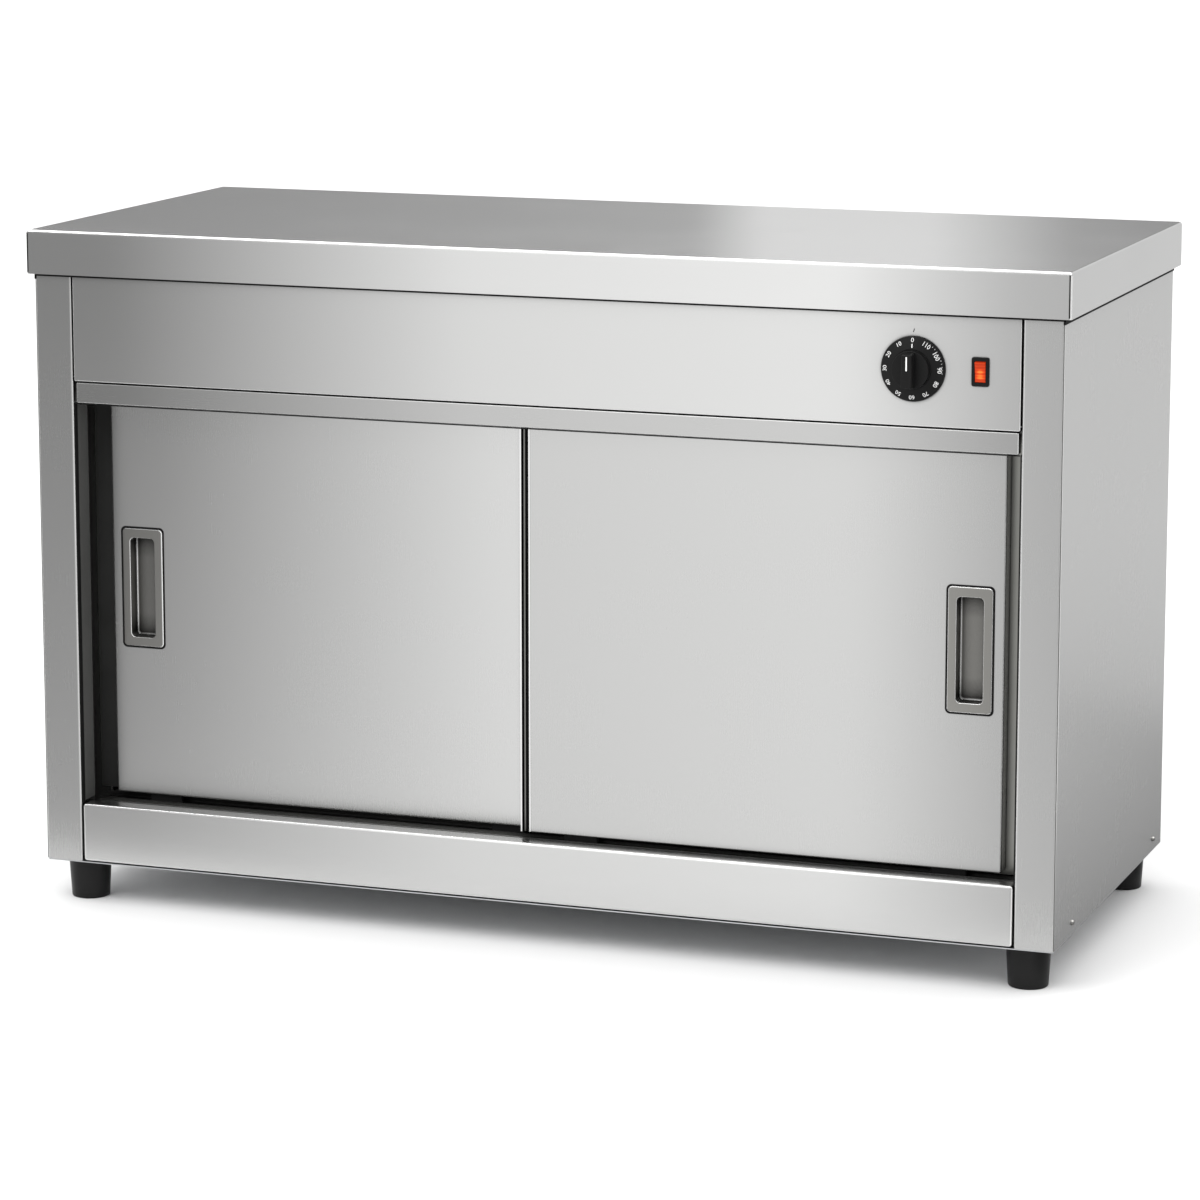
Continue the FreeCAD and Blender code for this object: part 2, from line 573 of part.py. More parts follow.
def lower_track():
    """One folded sheet with two guide slots, a lip before, between and behind the doors."""
    thin = " + dim.sheet"
    tongue = "at.ledge_end + dim.sheet - dim.track_tongue"
    top = [(tongue, "at.ledge - dim.sheet"), ("at.lip_y", "at.ledge - dim.sheet"), ("at.lip_y", "at.lip_top"),
           ("at.lip_y" + thin, "at.lip_top"), ("at.lip_y" + thin, "at.land")]
    under = []
    for rail in ("at.front_rail_y", "at.rear_rail_y"):
        near = rail + " - at.slot_half"
        far = rail + " + at.slot_half"
        top += [(near, "at.land"), (near, "at.slot_floor"), (far, "at.slot_floor"), (far, "at.land")]
        under += [(near + " - dim.sheet", "at.land - dim.sheet"),
                  (near + " - dim.sheet", "at.slot_floor - dim.sheet"),
                  (far + thin, "at.slot_floor - dim.sheet"), (far + thin, "at.land - dim.sheet")]
        if rail == "at.front_rail_y":
            lip = "at.between_doors - dim.sheet/2"
            top += [(lip, "at.land"), (lip, "at.middle_lip_top"), (lip + thin, "at.middle_lip_top"),
                    (lip + thin, "at.land")]
    top += [("at.track_leg", "at.land"), ("at.track_leg", "at.lip_top"), ("at.track_leg" + thin, "at.lip_top"),
            ("at.track_leg" + thin, "at.floor_plate"), ("at.track_leg", "at.floor_plate"),
            ("at.track_leg", "at.land - dim.sheet")]
    start = [("at.lip_y", "at.land - dim.sheet"), ("at.lip_y", "at.ledge - 2*dim.sheet"),
             (tongue, "at.ledge - 2*dim.sheet")]
    points = top + under[::-1] + start
    track = grown("YZ_Plane", points, "-at.post", "at.post", "LowerTrack")[0]
    notches = [box(*span(side, "at.post - dim.bottom_rail_end_gap - dim.rail_fold", "at.post + dim.overrun"),
                   "at.front", "at.ledge_end", "at.floor_plate", "at.ledge", "Notch") for side in SIDES.values()]
    return cut(track, notches)


def feet_places():
    return [(across(side, "at.foot_x"), place) for side in SIDES.values()
            for place in ("at.front + dim.foot_inset", "at.back - dim.foot_inset")]


def base_pan():
    """The floor of the body with flanges up inside the casings."""
    low, high = "at.base", "at.floor_plate"
    flange = "at.floor_plate + dim.pan_flange"
    plate = block("XY_Plane", "dim.plate_inset - at.half", "at.half - dim.plate_inset",
                  "at.front + dim.plate_inset", "at.back - dim.plate_inset", low, high, "dim.fold", name="Pan")
    rear = "(at.half - dim.rear_flange - dim.butt_gap)"
    parts = [plate, box("-" + rear, rear, "at.back_skin - dim.sheet", "at.back_skin", high, flange)]
    tools = []
    for side in SIDES.values():
        parts.append(box(*span(side, "at.inside", "at.skin"), "at.front + dim.pan_flange_inset",
                         "at.back - dim.pan_flange_inset", high, flange))
        tools += screw_holes(side, "x")
    tools += [rod("z", "dim.bolt_radius + dim.hole_gap", low + " - dim.overrun", high + " + dim.overrun", *place)
              for place in feet_places()]
    return cut(joined(parts), tools)


# Inner box
def slots(y0, y1, z0, z1):
    """Warm air slots in rows about the middle of a tray."""
    middle = "((%s) + (%s))/2" % (y0, y1)
    found = []
    for column in SLOT_COLUMNS:
        for row in SLOT_ROWS:
            u = "%s*dim.deck_slot_pitch" % column
            v = "%s + %s*dim.deck_row_pitch" % (middle, row)
            found.append(block("XY_Plane", u + " - dim.deck_slot_length/2", u + " + dim.deck_slot_length/2",
                               v + " - dim.deck_slot_width/2", v + " + dim.deck_slot_width/2",
                               z0, z1, "dim.deck_slot_corner", name="Slot"))
    return found


def plate_tray(top, y0, y1):
    """A pressed shelf for plates, turned down round its rim."""
    wide = "(at.liner_x - dim.shelf_gap)"
    shelf = tray("XY_Plane", "-" + wide, wide, y0, y1, top + " - dim.tray_flange", top, "dim.small_fold",
                 open_end=0, name="Shelf")
    return cut(shelf, slots(y0, y1, top + " - dim.sheet - dim.overrun", top + " + dim.overrun"))


def support(side, top):
    """An angle along a side liner that carries a shelf."""
    profile = [("at.liner_x", top), ("at.liner_x - dim.support_leg", top),
               ("at.liner_x - dim.support_leg", top + " - dim.sheet"),
               ("at.liner_x - dim.sheet", top + " - dim.sheet"),
               ("at.liner_x - dim.sheet", top + " - dim.support_leg"), ("at.liner_x", top + " - dim.support_leg")]
    points = [(across(side, u), v) for u, v in profile]
    folds = {"dim.small_fold": [0], "dim.small_fold - dim.sheet": [3]}
    return folded("XZ_Plane", points, "at.liner_front + dim.support_inset", "at.liner_back - dim.support_inset",
                  folds, "Support")


def liner(side):
    """A side wall of the inner box with a front flange out to the casing."""
    profile = [("at.liner_x", "at.liner_front"), ("at.inside", "at.liner_front"),
               ("at.inside", "at.liner_front + dim.sheet"),
               ("at.liner_x + dim.sheet", "at.liner_front + dim.sheet"),
               ("at.liner_x + dim.sheet", "at.liner_back"), ("at.liner_x", "at.liner_back")]
    points = [(across(side, u), v) for u, v in profile]
    folds = {"dim.fold": [0], "dim.fold - dim.sheet": [3]}
    wall = folded("XY_Plane", points, "at.floor_plate", "at.track_roof", folds, "Liner")
    if side < 0:
        return wall
    ends = ("at.liner_x - dim.overrun", "at.liner_x + dim.sheet + dim.overrun")
    holes = [rod("x", "dim.bush_radius + dim.clip_gap", *ends, place, "at.element_z")
             for place in (leg_place(LEG_STEPS[0]), leg_place(LEG_STEPS[-1]))]
    return cut(wall, holes)


def liner_back():
    """The back wall of the inner box."""
    wide = "(at.liner_x + dim.sheet)"
    return box("-" + wide, wide, "at.liner_back", "at.liner_back + dim.sheet", "at.floor_plate",
               "at.ceiling + dim.sheet")


def ceiling_liner():
    """The ceiling of the inner box, turned up at the front to meet the rear track."""
    points = [("at.liner_front", "at.ceiling"), ("at.liner_back", "at.ceiling"),
              ("at.liner_back", "at.ceiling + dim.sheet"),
              ("at.liner_front + dim.sheet", "at.ceiling + dim.sheet"),
              ("at.liner_front + dim.sheet", "at.track_roof"), ("at.liner_front", "at.track_roof")]
    folds = {"dim.fold": [0], "dim.fold - dim.sheet": [3]}
    sheet_part = folded("YZ_Plane", points, "-at.liner_x", "at.liner_x", folds, "Ceiling")
    hole = rod("z", "dim.capillary_radius + dim.hole_gap", "at.ceiling - dim.overrun",
               "at.ceiling + dim.sheet + dim.overrun", "at.capillary_x", "at.bulb_y")
    return cut(sheet_part, [hole])


def jamb_strip():
    """The upright strip behind the outer edge of the front door."""
    near = "at.between_doors - dim.sheet/2"
    lap = "at.door_side - dim.jamb_lap"
    points = [(lap, near), ("at.skin", near), ("at.skin", near + " + dim.jamb_leg"),
              ("at.inside", near + " + dim.jamb_leg"), ("at.inside", near + " + dim.sheet"),
              (lap, near + " + dim.sheet")]
    folds = {"dim.small_fold": [1], "dim.small_fold - dim.sheet": [4]}
    return folded("XY_Plane", points, "at.ledge", "at.rail_top - 2*dim.sheet", folds, "Jamb")


def jamb_seal():
    """The dark sealing strip behind the outer edge of the rear door."""
    return box("-at.liner_x - dim.seal_hold", "dim.seal_lap - at.door_side", "at.liner_front - dim.seal_sheet",
               "at.liner_front", "at.door_low", "at.door_high")


def insulation_side(side):
    low, high = span(side, "at.liner_x + dim.sheet", "at.inside - dim.slab_gap")
    return box(low, high, "at.liner_front + dim.fold + dim.slab_gap", "at.liner_back - dim.wall_duct",
               "at.floor_plate + dim.slab_lift", "at.ceiling")


def insulation_back():
    return box("-at.liner_x", "at.liner_x", "at.liner_back + dim.sheet",
               "at.back_skin - dim.slab_gap", "at.floor_plate + dim.slab_lift", "at.ceiling")


def insulation_top():
    slab = box("dim.slab_gap - at.liner_x", "at.liner_x - dim.slab_gap",
               "at.liner_front + dim.fold + dim.slab_gap", "at.liner_back",
               "at.ceiling + dim.sheet", "at.slab_top")
    notch = box("at.capillary_x - dim.slab_notch", "at.capillary_x + dim.slab_notch",
                "at.bulb_y - dim.slab_notch", "at.liner_back + dim.overrun", "at.ceiling",
                "at.slab_top + dim.overrun", "Notch")
    return cut(slab, [notch])


# Heating
def leg_place(step):
    return "at.element_y + (%s)*dim.element_pitch" % step


def heat_shield():
    """A shallow tray upside down that keeps the heat off the base."""
    wide = "(at.liner_x - dim.shield_inset)"
    return tray("XY_Plane", "-" + wide, wide, "at.liner_front + dim.shield_margin",
                "at.liner_back - dim.shield_margin", "at.floor_plate", "at.shield", "dim.small_fold",
                open_end=0, name="Shield")


def heating_element():
    """One tube laid to and fro, with both ends through the right liner."""
    places = [leg_place(step) for step in LEG_STEPS]
    turns = ("-at.element_turn", "at.element_turn", "-at.element_turn")
    points = [("at.element_tip", places[0], "at.element_z")]
    for here, there, turn in zip(places, places[1:], turns):
        points += [(turn, here, "at.element_z"), (turn, there, "at.element_z")]
    points.append(("at.element_tip", places[-1], "at.element_z"))
    return tube(points, "dim.element_radius", "dim.element_pitch/2", "HeatingElement")


def element_bar(side):
    """An upright bar that holds the four legs of the element above the shield."""
    middle = "%d*at.bar_x" % side
    ends = (middle + " - dim.bar_sheet/2", middle + " + dim.bar_sheet/2")
    bar = box(*ends, leg_place(LEG_STEPS[0]) + " - dim.bar_margin", leg_place(LEG_STEPS[-1]) + " + dim.bar_margin",
              "at.shield", "at.element_z + dim.bar_margin")
    holes = [rod("x", "dim.element_radius + dim.clip_gap", ends[0] + " - dim.overrun", ends[1] + " + dim.overrun",
                 leg_place(step), "at.element_z") for step in LEG_STEPS]
    return cut(bar, holes)


def element_bush(step):
    """A flanged bush where an end of the element passes the liner."""
    place = (leg_place(step), "at.element_z")
    flange = rod("x", "dim.bush_flange_radius", "at.liner_x - dim.bush_flange", "at.liner_x", *place)
    sleeve = rod("x", "dim.bush_radius", "at.liner_x", "at.liner_x + dim.bush_length", *place)
    bore = rod("x", "dim.element_radius + dim.clip_gap", "at.liner_x - dim.bush_flange - dim.overrun",
               "at.liner_x + dim.bush_length + dim.overrun", *place)
    return cut(joined([flange, sleeve]), [bore])


# Thermostat, switch and wiring
def thermostat_body():
    """The thermostat behind the fascia with its threaded bush and the bore for the spindle."""
    case = block("XZ_Plane", "at.dial_x - dim.thermostat_width/2", "at.dial_x + dim.thermostat_width/2",
                 "at.dial_z - dim.thermostat_height/2", "at.dial_z + dim.thermostat_height/2",
                 "at.front + dim.sheet", "at.thermostat_back", "dim.thermostat_corner", name="Thermostat")
    place = ("at.dial_x", "at.dial_z")
    bush = rod("y", "dim.bushing_radius", "at.front - dim.bushing_out", "at.front + dim.sheet", *place)
    bore = rod("y", "dim.spindle_radius + dim.spindle_fit", "at.front - dim.bushing_out - dim.overrun",
               "at.front + dim.spindle_in + dim.side_play", *place)
    return cut(joined([case, bush]), [bore])


def thermostat_capillary():
    """The thin tube from the thermostat down to its bulb under the ceiling."""
    left = "at.dial_x - dim.capillary_offset"
    out = "at.thermostat_back + dim.capillary_out"
    points = [(left, "at.thermostat_back", "at.capillary_z"), (left, out, "at.capillary_z"),
              ("at.capillary_x", out, "at.capillary_z"), ("at.capillary_x", "at.bulb_y", "at.capillary_z"),
              ("at.capillary_x", "at.bulb_y", "at.bulb_z"), ("at.bulb_start", "at.bulb_y", "at.bulb_z")]
    bulb = rod("x", "dim.bulb_radius", "at.bulb_end", "at.bulb_start", "at.bulb_y", "at.bulb_z")
    return joined([tube(points, "dim.capillary_radius", "dim.capillary_bend", "Capillary"), bulb])


def bulb_clip(middle):
    """A clip that holds the bulb under the ceiling."""
    radius = "(dim.bulb_radius + dim.clip_gap)"
    ends = (middle + " - dim.clip_width/2", middle + " + dim.clip_width/2")
    clip = box(*ends, "at.bulb_y - %s - dim.clip_sheet" % radius, "at.bulb_y + %s + dim.clip_sheet" % radius,
               "at.bulb_z - %s - dim.clip_sheet" % radius, "at.ceiling")
    bore = rod("x", radius, ends[0] + " - dim.overrun", ends[1] + " + dim.overrun", "at.bulb_y", "at.bulb_z")
    return cut(clip, [bore])


def switch_housing():
    """The switch's bezel and body in one moulding, with a pocket for the rocker."""
    face = "at.front - dim.bezel_raise"
    wide, tall = "(dim.bezel_width/2)", "(dim.bezel_height/2)"
    bezel = block("XZ_Plane", "at.switch_x - " + wide, "at.switch_x + " + wide, "at.dial_z - " + tall,
                  "at.dial_z + " + tall, face, "at.front", "dim.bezel_corner", "dim.bezel_round", name="Bezel")
    case = box("at.switch_x - dim.switch_body_width/2", "at.switch_x + dim.switch_body_width/2",
               "at.front", "at.front + dim.switch_body_depth",
               "at.dial_z - dim.switch_body_height/2", "at.dial_z + dim.switch_body_height/2", "SwitchBody")
    parts = [bezel, case]
    for side in SIDES.values():
        middle = "at.dial_z + %d*dim.blade_pitch" % side
        parts.append(box("at.switch_x - dim.blade_width/2", "at.switch_x + dim.blade_width/2",
                         "at.front + dim.switch_body_depth",
                         "at.front + dim.switch_body_depth + dim.blade_length",
                         middle + " - dim.blade_sheet/2", middle + " + dim.blade_sheet/2", "Blade"))
    wide = "(dim.rocker_width/2 + dim.rocker_play)"
    tall = "(dim.rocker_height/2 + 2*dim.rocker_play)"
    pocket = box("at.switch_x - " + wide, "at.switch_x + " + wide, face + " - dim.overrun",
                 face + " + dim.pocket_depth", "at.dial_z - " + tall, "at.dial_z + " + tall, "Pocket")
    reach = "(dim.rocker_width/2 + dim.rocker_pin_length + dim.rocker_play)"
    pivot = rod("x", "dim.rocker_pin + dim.running_gap", "at.switch_x - " + reach, "at.switch_x + " + reach,
                "at.front", "at.dial_z")
    return cut(joined(parts), [pocket, pivot])


def rocker():
    """The rocker, drawn about its pivot and then set to the place where it rests."""
    high = "dim.rocker_height/2"
    profile = [("-dim.rocker_shoulder - dim.rocker_proud", high), ("dim.rocker_shoulder", high),
               ("dim.rocker_depth", "dim.rocker_stem/2"), ("dim.rocker_depth", "-dim.rocker_stem/2"),
               ("dim.rocker_shoulder", "-" + high), ("-dim.rocker_shoulder - dim.rocker_proud", "-" + high),
               ("dim.rocker_dip - dim.rocker_shoulder - dim.rocker_proud", "0")]
    plate = grown("YZ_Plane", profile, "-dim.rocker_width/2", "dim.rocker_width/2", "Rocker")[0]
    reach = "(dim.rocker_width/2 + dim.rocker_pin_length)"
    item = joined([plate, rod("x", "dim.rocker_pin", "-" + reach, reach, "0", "0")])
    item.Placement = FreeCAD.Placement(Vector(), FreeCAD.Rotation(Vector(1, 0, 0), value("dim.rocker_tilt")))
    item.setExpression(".Placement.Rotation.Angle", "dim.rocker_tilt * 1 deg")
    put(item, "at.switch_x", "at.front", "at.dial_z")
    return item


def terminal_block():
    """A five pole block on the inside of the back panel."""
    block_part = box("at.terminal_x - dim.terminal_length/2", "at.terminal_x + dim.terminal_length/2",
                     "at.back_skin - dim.terminal_depth", "at.back_skin", "at.terminal_low",
                     "at.terminal_low + dim.terminal_height", "Terminals")
    bores = [rod("z", "dim.terminal_bore", "at.terminal_low - dim.overrun",
                 "at.terminal_low + dim.terminal_height + dim.overrun",
                 "at.terminal_x + (%d)*dim.terminal_pitch" % pole, "at.terminal_y") for pole in TERMINAL_POLES]
    return cut(block_part, bores)


def cable_gland():
    """The cable inlet, seated against the outside of the back panel."""
    place = ("at.gland_x", "at.gland_z")
    thread = rod("y", "dim.gland_thread", "at.back_skin - dim.gland_inside", "at.back", *place)
    collar = rod("y", "dim.gland_collar", "at.back", "at.back + dim.gland_collar_length", *place)
    cap = rod("y", "dim.gland_cap", "at.back + dim.gland_collar_length", "at.back + dim.gland_reach", *place)
    bore = rod("y", "dim.gland_bore", "at.back_skin - dim.gland_inside - dim.overrun",
               "at.back + dim.gland_reach + dim.overrun", *place)
    return cut(joined([thread, collar, cap]), [bore])


def gland_nut():
    """The nut that clamps the gland from inside."""
    place = ("at.gland_x", "at.gland_z")
    nut = hexagon("y", "dim.nut_radius", "at.back_skin - dim.nut_thickness", "at.back_skin", *place)
    bore = rod("y", "dim.gland_thread + dim.clip_gap", "at.back_skin - dim.nut_thickness - dim.overrun",
               "at.back_skin + dim.overrun", *place)
    return cut(nut, [bore])


def control_loom(x, y, pole):
    """Wires from a control on the fascia, over the ceiling slab and up to the terminal block."""
    out = y + " + dim.loom_rise_y"
    end = "at.terminal_x + (%d)*dim.terminal_pitch" % pole
    return tube([(x, y, "at.dial_z"), (x, out, "at.dial_z"), (x, out, "at.slab_loom"), (end, out, "at.slab_loom"),
                 (end, "at.terminal_y", "at.slab_loom"), (end, "at.terminal_y", "at.terminal_low")],
                "dim.loom_radius", "dim.loom_bend", "ControlLoom")


def element_lead(step, pole, rank):
    """A lead from an end of the element, up the wall duct and across to the terminal block."""
    out = "at.element_tip + dim.lead_start + %d*dim.lead_step" % rank
    duct = "at.duct_y + %d*dim.lead_step" % rank
    over = "at.roof_loom + %d*dim.lead_step" % rank
    end = "at.terminal_x + (%d)*dim.terminal_pitch" % pole
    return tube([("at.element_tip", leg_place(step), "at.element_z"), (out, leg_place(step), "at.element_z"),
                 (out, duct, "at.element_z"), (out, duct, over), (end, duct, over), (end, "at.terminal_y", over),
                 (end, "at.terminal_y", "at.terminal_low")],
                "dim.loom_radius", "dim.loom_bend", "ElementLead")


# Fasteners and feet
def screw(axis, head_face, outward, u, v):
    """A self-tapping screw: a tapered head on its face, pointing outward (1) or back (-1)."""
    top = "%s + (%d)*dim.screw_head" % (head_face, outward)
    tip = "%s - (%d)*dim.screw_length" % (head_face, outward)
    low_end, high_end = (head_face, top) if outward > 0 else (top, head_face)
    head = document.addObject("Part::Cone", "ScrewHead")
    head.Placement = FreeCAD.Placement(Vector(), TURNS[axis])
    radii = ("dim.screw_head_radius", "dim.screw_top_radius")
    for name, radius in zip(("Radius1", "Radius2"), radii if outward > 0 else radii[::-1]):
        head.setExpression(name, radius)
    head.setExpression("Height", "dim.screw_head")
    put(head, *({"x": (low_end, u, v), "y": (u, low_end, v)}[axis]))
    ends = (tip, head_face) if outward > 0 else (head_face, tip)
    return joined([head, rod(axis, "dim.screw_radius", *ends, u, v)])


def panel_screws():
    """Screws that hold the casings to the base and the back panel to the casings."""
    found = []
    for side in SIDES.values():
        for place in side_screw_places():
            found.append(screw("x", across(side, "at.half"), side, place, "at.base + dim.side_screw_high"))
        for height in back_screw_places():
            found.append(screw("y", "at.back", 1, across(side, "at.half - dim.screw_inset"), height))
    return grouped(found)


def foot(x, y):
    """A tapered foot with a socket for its bolt."""
    hole = "dim.bolt_radius + dim.hole_gap"
    points = [(hole, "at.web_low"), (hole, "at.base"), ("dim.foot_radius", "at.base"),
              ("dim.foot_low_radius", "0"), ("dim.foot_socket", "0"), ("dim.foot_socket", "at.web_low")]
    body = turned("XZ_Plane", points, "Foot")
    radius = value("dim.foot_low_radius")
    soften(body, body.Tip, lambda edge: same(edge.BoundBox.ZMax, 0) and same(edge.BoundBox.XMax, radius),
           "dim.foot_round")
    put(body, x, y, "0")
    return body


def foot_bolt(x, y):
    """A bolt up through a foot and the base, with its nut."""
    head = hexagon("z", "dim.bolt_flat_radius", "at.web_low - dim.bolt_head", "at.web_low", x, y)
    shank = rod("z", "dim.bolt_radius", "at.web_low", "at.floor_plate + dim.bolt_nut + dim.bolt_end", x, y)
    nut = hexagon("z", "dim.bolt_flat_radius", "at.floor_plate", "at.floor_plate + dim.bolt_nut", x, y)
    return joined([head, shank, nut])


# Doors
def door_span(side):
    """The outer and inner edges of a door, as a low and a high X place."""
    return span(side, "-at.door_inner", "at.door_side")


def handle_x(side):
    return across(side, "at.door_side - dim.handle_inset")


def about(middle, half_size):
    return ("%s - (%s)" % (middle, half_size), "%s + (%s)" % (middle, half_size))


def cup_block(side, face, start, end, growth, corner, rim, name):
    """The space of the handle's cup, grown outward by a wall or a gap."""
    return block("XZ_Plane", *about(handle_x(side), "dim.cup_width/2 + " + growth),
                 *about("at.door_mid", "dim.cup_height/2 + " + growth), start, end, corner, rim, 1, name=name)


def door_skin(side, face):
    """The visible front of a door, a tray folded round all four edges, with the handle's opening."""
    low, high = door_span(side)
    skin = tray("XZ_Plane", low, high, "at.door_low", "at.door_high", face, face + " + dim.door_thickness",
                "dim.door_fold", "dim.door_sheet", name="DoorSkin")
    opening = cup_block(side, face, face + " - dim.overrun", face + " + dim.door_sheet + dim.overrun",
                        "dim.cup_wall + dim.cutout_gap", "dim.cup_corner + dim.cup_wall", None, "Opening")
    return cut(skin, [opening])


def door_fill(side, y0, y1, inset):
    """A plate inside the folded edges of a door."""
    low, high = door_span(side)
    return box("%s + %s" % (low, inset), "%s - %s" % (high, inset), y0, y1,
               "at.door_low + " + inset, "at.door_high - " + inset)


def door_core(side, face):
    """The insulation between the skins, open round the handle's cup."""
    start = face + " + dim.door_sheet"
    end = face + " + dim.door_thickness - dim.door_sheet"
    opening = cup_block(side, face, start + " - dim.overrun", end + " + dim.overrun",
                        "dim.cup_wall + dim.cutout_gap", "dim.cup_corner", None, "CoreOpening")
    return cut(door_fill(side, start, end, "dim.door_fold"), [opening])


def door_handle(side, face):
    """A flush handle: a raised plate with a bevelled rim and a deep cup."""
    top = face + " - dim.handle_raise"
    plate = block("XZ_Plane", *about(handle_x(side), "dim.handle_width/2"),
                  *about("at.door_mid", "dim.handle_height/2"), top, face, "dim.handle_corner",
                  "dim.handle_bevel", kind="Chamfer", name="HandlePlate")
    shell = cup_block(side, face, face, face + " + dim.cup_depth + dim.cup_wall", "dim.cup_wall",
                      "dim.cup_corner + dim.cup_wall", "dim.cup_floor_fold + dim.cup_wall", "Cup")
    hollow = cup_block(side, face, top + " - dim.overrun", face + " + dim.cup_depth", "0",
                       "dim.cup_corner", "dim.cup_floor_fold", "CupHollow")
    return cut(joined([plate, shell]), [hollow])


def carrier_places(side, inset):
    """The two X places on a door at an inset from its edges."""
    low, high = door_span(side)
    return ("%s + %s" % (low, inset), "%s - %s" % (high, inset))


def door_hanger(x, back, rail):
    """A plate on the back of a door with the pin of its roller."""
    plate = block("XZ_Plane", *about(x, "dim.hanger_width/2"), "at.door_high - dim.hanger_grip",
                  "at.roller_z + dim.hanger_top", back, back + " + dim.hanger_plate", "dim.hanger_corner",
                  name="Hanger")
    near = rail + " + dim.roller_width/2 + dim.side_play"
    far = rail + " - dim.roller_width/2 - dim.side_play"
    place = (x, "at.roller_z")
    collar = rod("y", "dim.pin_head_radius", near, back, *place)
    pin = rod("y", "dim.pin_radius", far, near, *place)
    head = rod("y", "dim.pin_head_radius", far + " - dim.pin_head", far, *place)
    return joined([plate, collar, pin, head])


def door_guide(x, rail):
    """A slippery shoe under a door that runs in the lower track."""
    return block("XY_Plane", *about(x, "dim.shoe_length/2"), *about(rail, "dim.shoe_width/2"),
                 "at.slot_floor + dim.shoe_lift", "at.door_low", "dim.shoe_round", name="Shoe")


def roller(x, rail):
    """A grooved roller on its pin."""
    wide, groove = "dim.roller_width/2", "dim.groove_width/2"
    bore = "dim.pin_radius + dim.running_gap"
    points = [("-" + wide, bore), ("-" + wide, "dim.roller_radius"), ("-" + groove, "dim.roller_radius"),
              ("-" + groove, "dim.groove_radius"), (groove, "dim.groove_radius"), (groove, "dim.roller_radius"),
              (wide, "dim.roller_radius"), (wide, bore)]
    body = turned("YZ_Plane", points, "Roller")
    put(body, x, rail, "at.roller_z")
    return body


def closing_strip():
    """The grooved strip along the inner edge of the front door."""
    edge = "-at.door_inner"
    left = edge + " - dim.strip_width"
    front = "at.front_door + dim.strip_setback"
    rear = front + " + dim.strip_depth"
    floor = rear + " - dim.strip_web"
    rib = left + " + dim.strip_lip + dim.strip_groove"
    rib_front = "at.front_door + dim.strip_rib_setback"
    wall_front = "at.front_door + dim.seal_setback"
    points = [(left, front), (left + " + dim.strip_lip", front), (left + " + dim.strip_lip", floor),
              (rib, floor), (rib, rib_front), (rib + " + dim.strip_lip", rib_front),
              (rib + " + dim.strip_lip", floor), (edge + " - dim.strip_lip", floor),
              (edge + " - dim.strip_lip", wall_front), (edge, wall_front), (edge, rear), (left, rear)]
    return grown("XY_Plane", points, "at.door_low", "at.door_high", "Strip")[0]


def closing_seal():
    """Two soft beads that fill the grooves of the closing strip."""
    edge = "-at.door_inner"
    left = edge + " - dim.strip_width + dim.strip_lip"
    ends = ("at.front_door + dim.seal_setback",
            "at.front_door + dim.strip_setback + dim.strip_depth - dim.strip_web", "at.door_low", "at.door_high")
    return grouped([box(left, left + " + dim.strip_groove", *ends),
                    box(left + " + dim.strip_groove + dim.strip_lip", edge + " - dim.strip_lip", *ends)])


# Dial
def thermostat_knob():
    """The dial: a skirt, a round boss and a grip bar."""
    rear = "at.front - dim.skirt_gap"
    edge = rear + " - dim.skirt_rim"
    rise = edge + " - dim.skirt_rise"
    top = rear + " - dim.boss_height"
    points = [(rear, "0"), (rear, "dim.dial_radius"), (edge, "dim.dial_radius"), (rise, "dim.boss_radius"),
              (top, "dim.boss_radius"), (top, "0")]
    skirt = turned("YZ_Plane", points, "Dial")
    put(skirt, "at.dial_x", "0", "at.dial_z")
    grip = block("XZ_Plane", *about("at.dial_x", "dim.grip_width/2"), *about("at.dial_z", "dim.grip_length/2"),
                 "at.front - dim.knob_reach", top, "dim.grip_round", "dim.grip_round", name="Grip")
    bore = rod("y", "dim.spindle_radius", rear + " - dim.spindle_out", rear + " + dim.overrun",
               "at.dial_x", "at.dial_z")
    return cut(joined([skirt, grip]), [bore])


def thermostat_spindle():
    return rod("y", "dim.spindle_radius", "at.front - dim.skirt_gap - dim.spindle_out",
               "at.front + dim.spindle_in", "at.dial_x", "at.dial_z")


def build_body():
    keep(worktop(), "worktop")
    keep(grouped([channel(step) for step in (-1, 0, 1)]), "worktop_channels")
    keep(back_panel(), "back_panel")
    keep(fascia_panel(), "fascia_panel")
    keep(top_track_front(), "top_track_front")
    keep(top_track_rear(), "top_track_rear")
    keep(bottom_rail(), "bottom_rail")
    keep(lower_track(), "lower_track")
    keep(base_pan(), "base_pan")
    for name, side in SIDES.items():
        keep(casing(side), "casing_" + name)
        keep(liner(side), "liner_" + name)
    keep(liner_back(), "liner_back")
    keep(ceiling_liner(), "ceiling_liner")
    tray_back = "at.liner_back - dim.shelf_gap"
    keep(plate_tray("at.deck", "at.liner_front", tray_back), "deck")
    keep(plate_tray("at.shelf", "at.liner_front + dim.shelf_setback", tray_back), "mid_shelf")
    levels = ("at.deck - dim.tray_flange", "at.shelf - dim.tray_flange")
    keep(grouped([support(side, top) for side in SIDES.values() for top in levels]), "shelf_supports")
    keep(jamb_strip(), "jamb_strip")
    keep(jamb_seal(), "jamb_seal")
    keep(grouped([insulation_side(side) for side in SIDES.values()]), "insulation_sides")
    keep(insulation_back(), "insulation_back")
    keep(insulation_top(), "insulation_top")


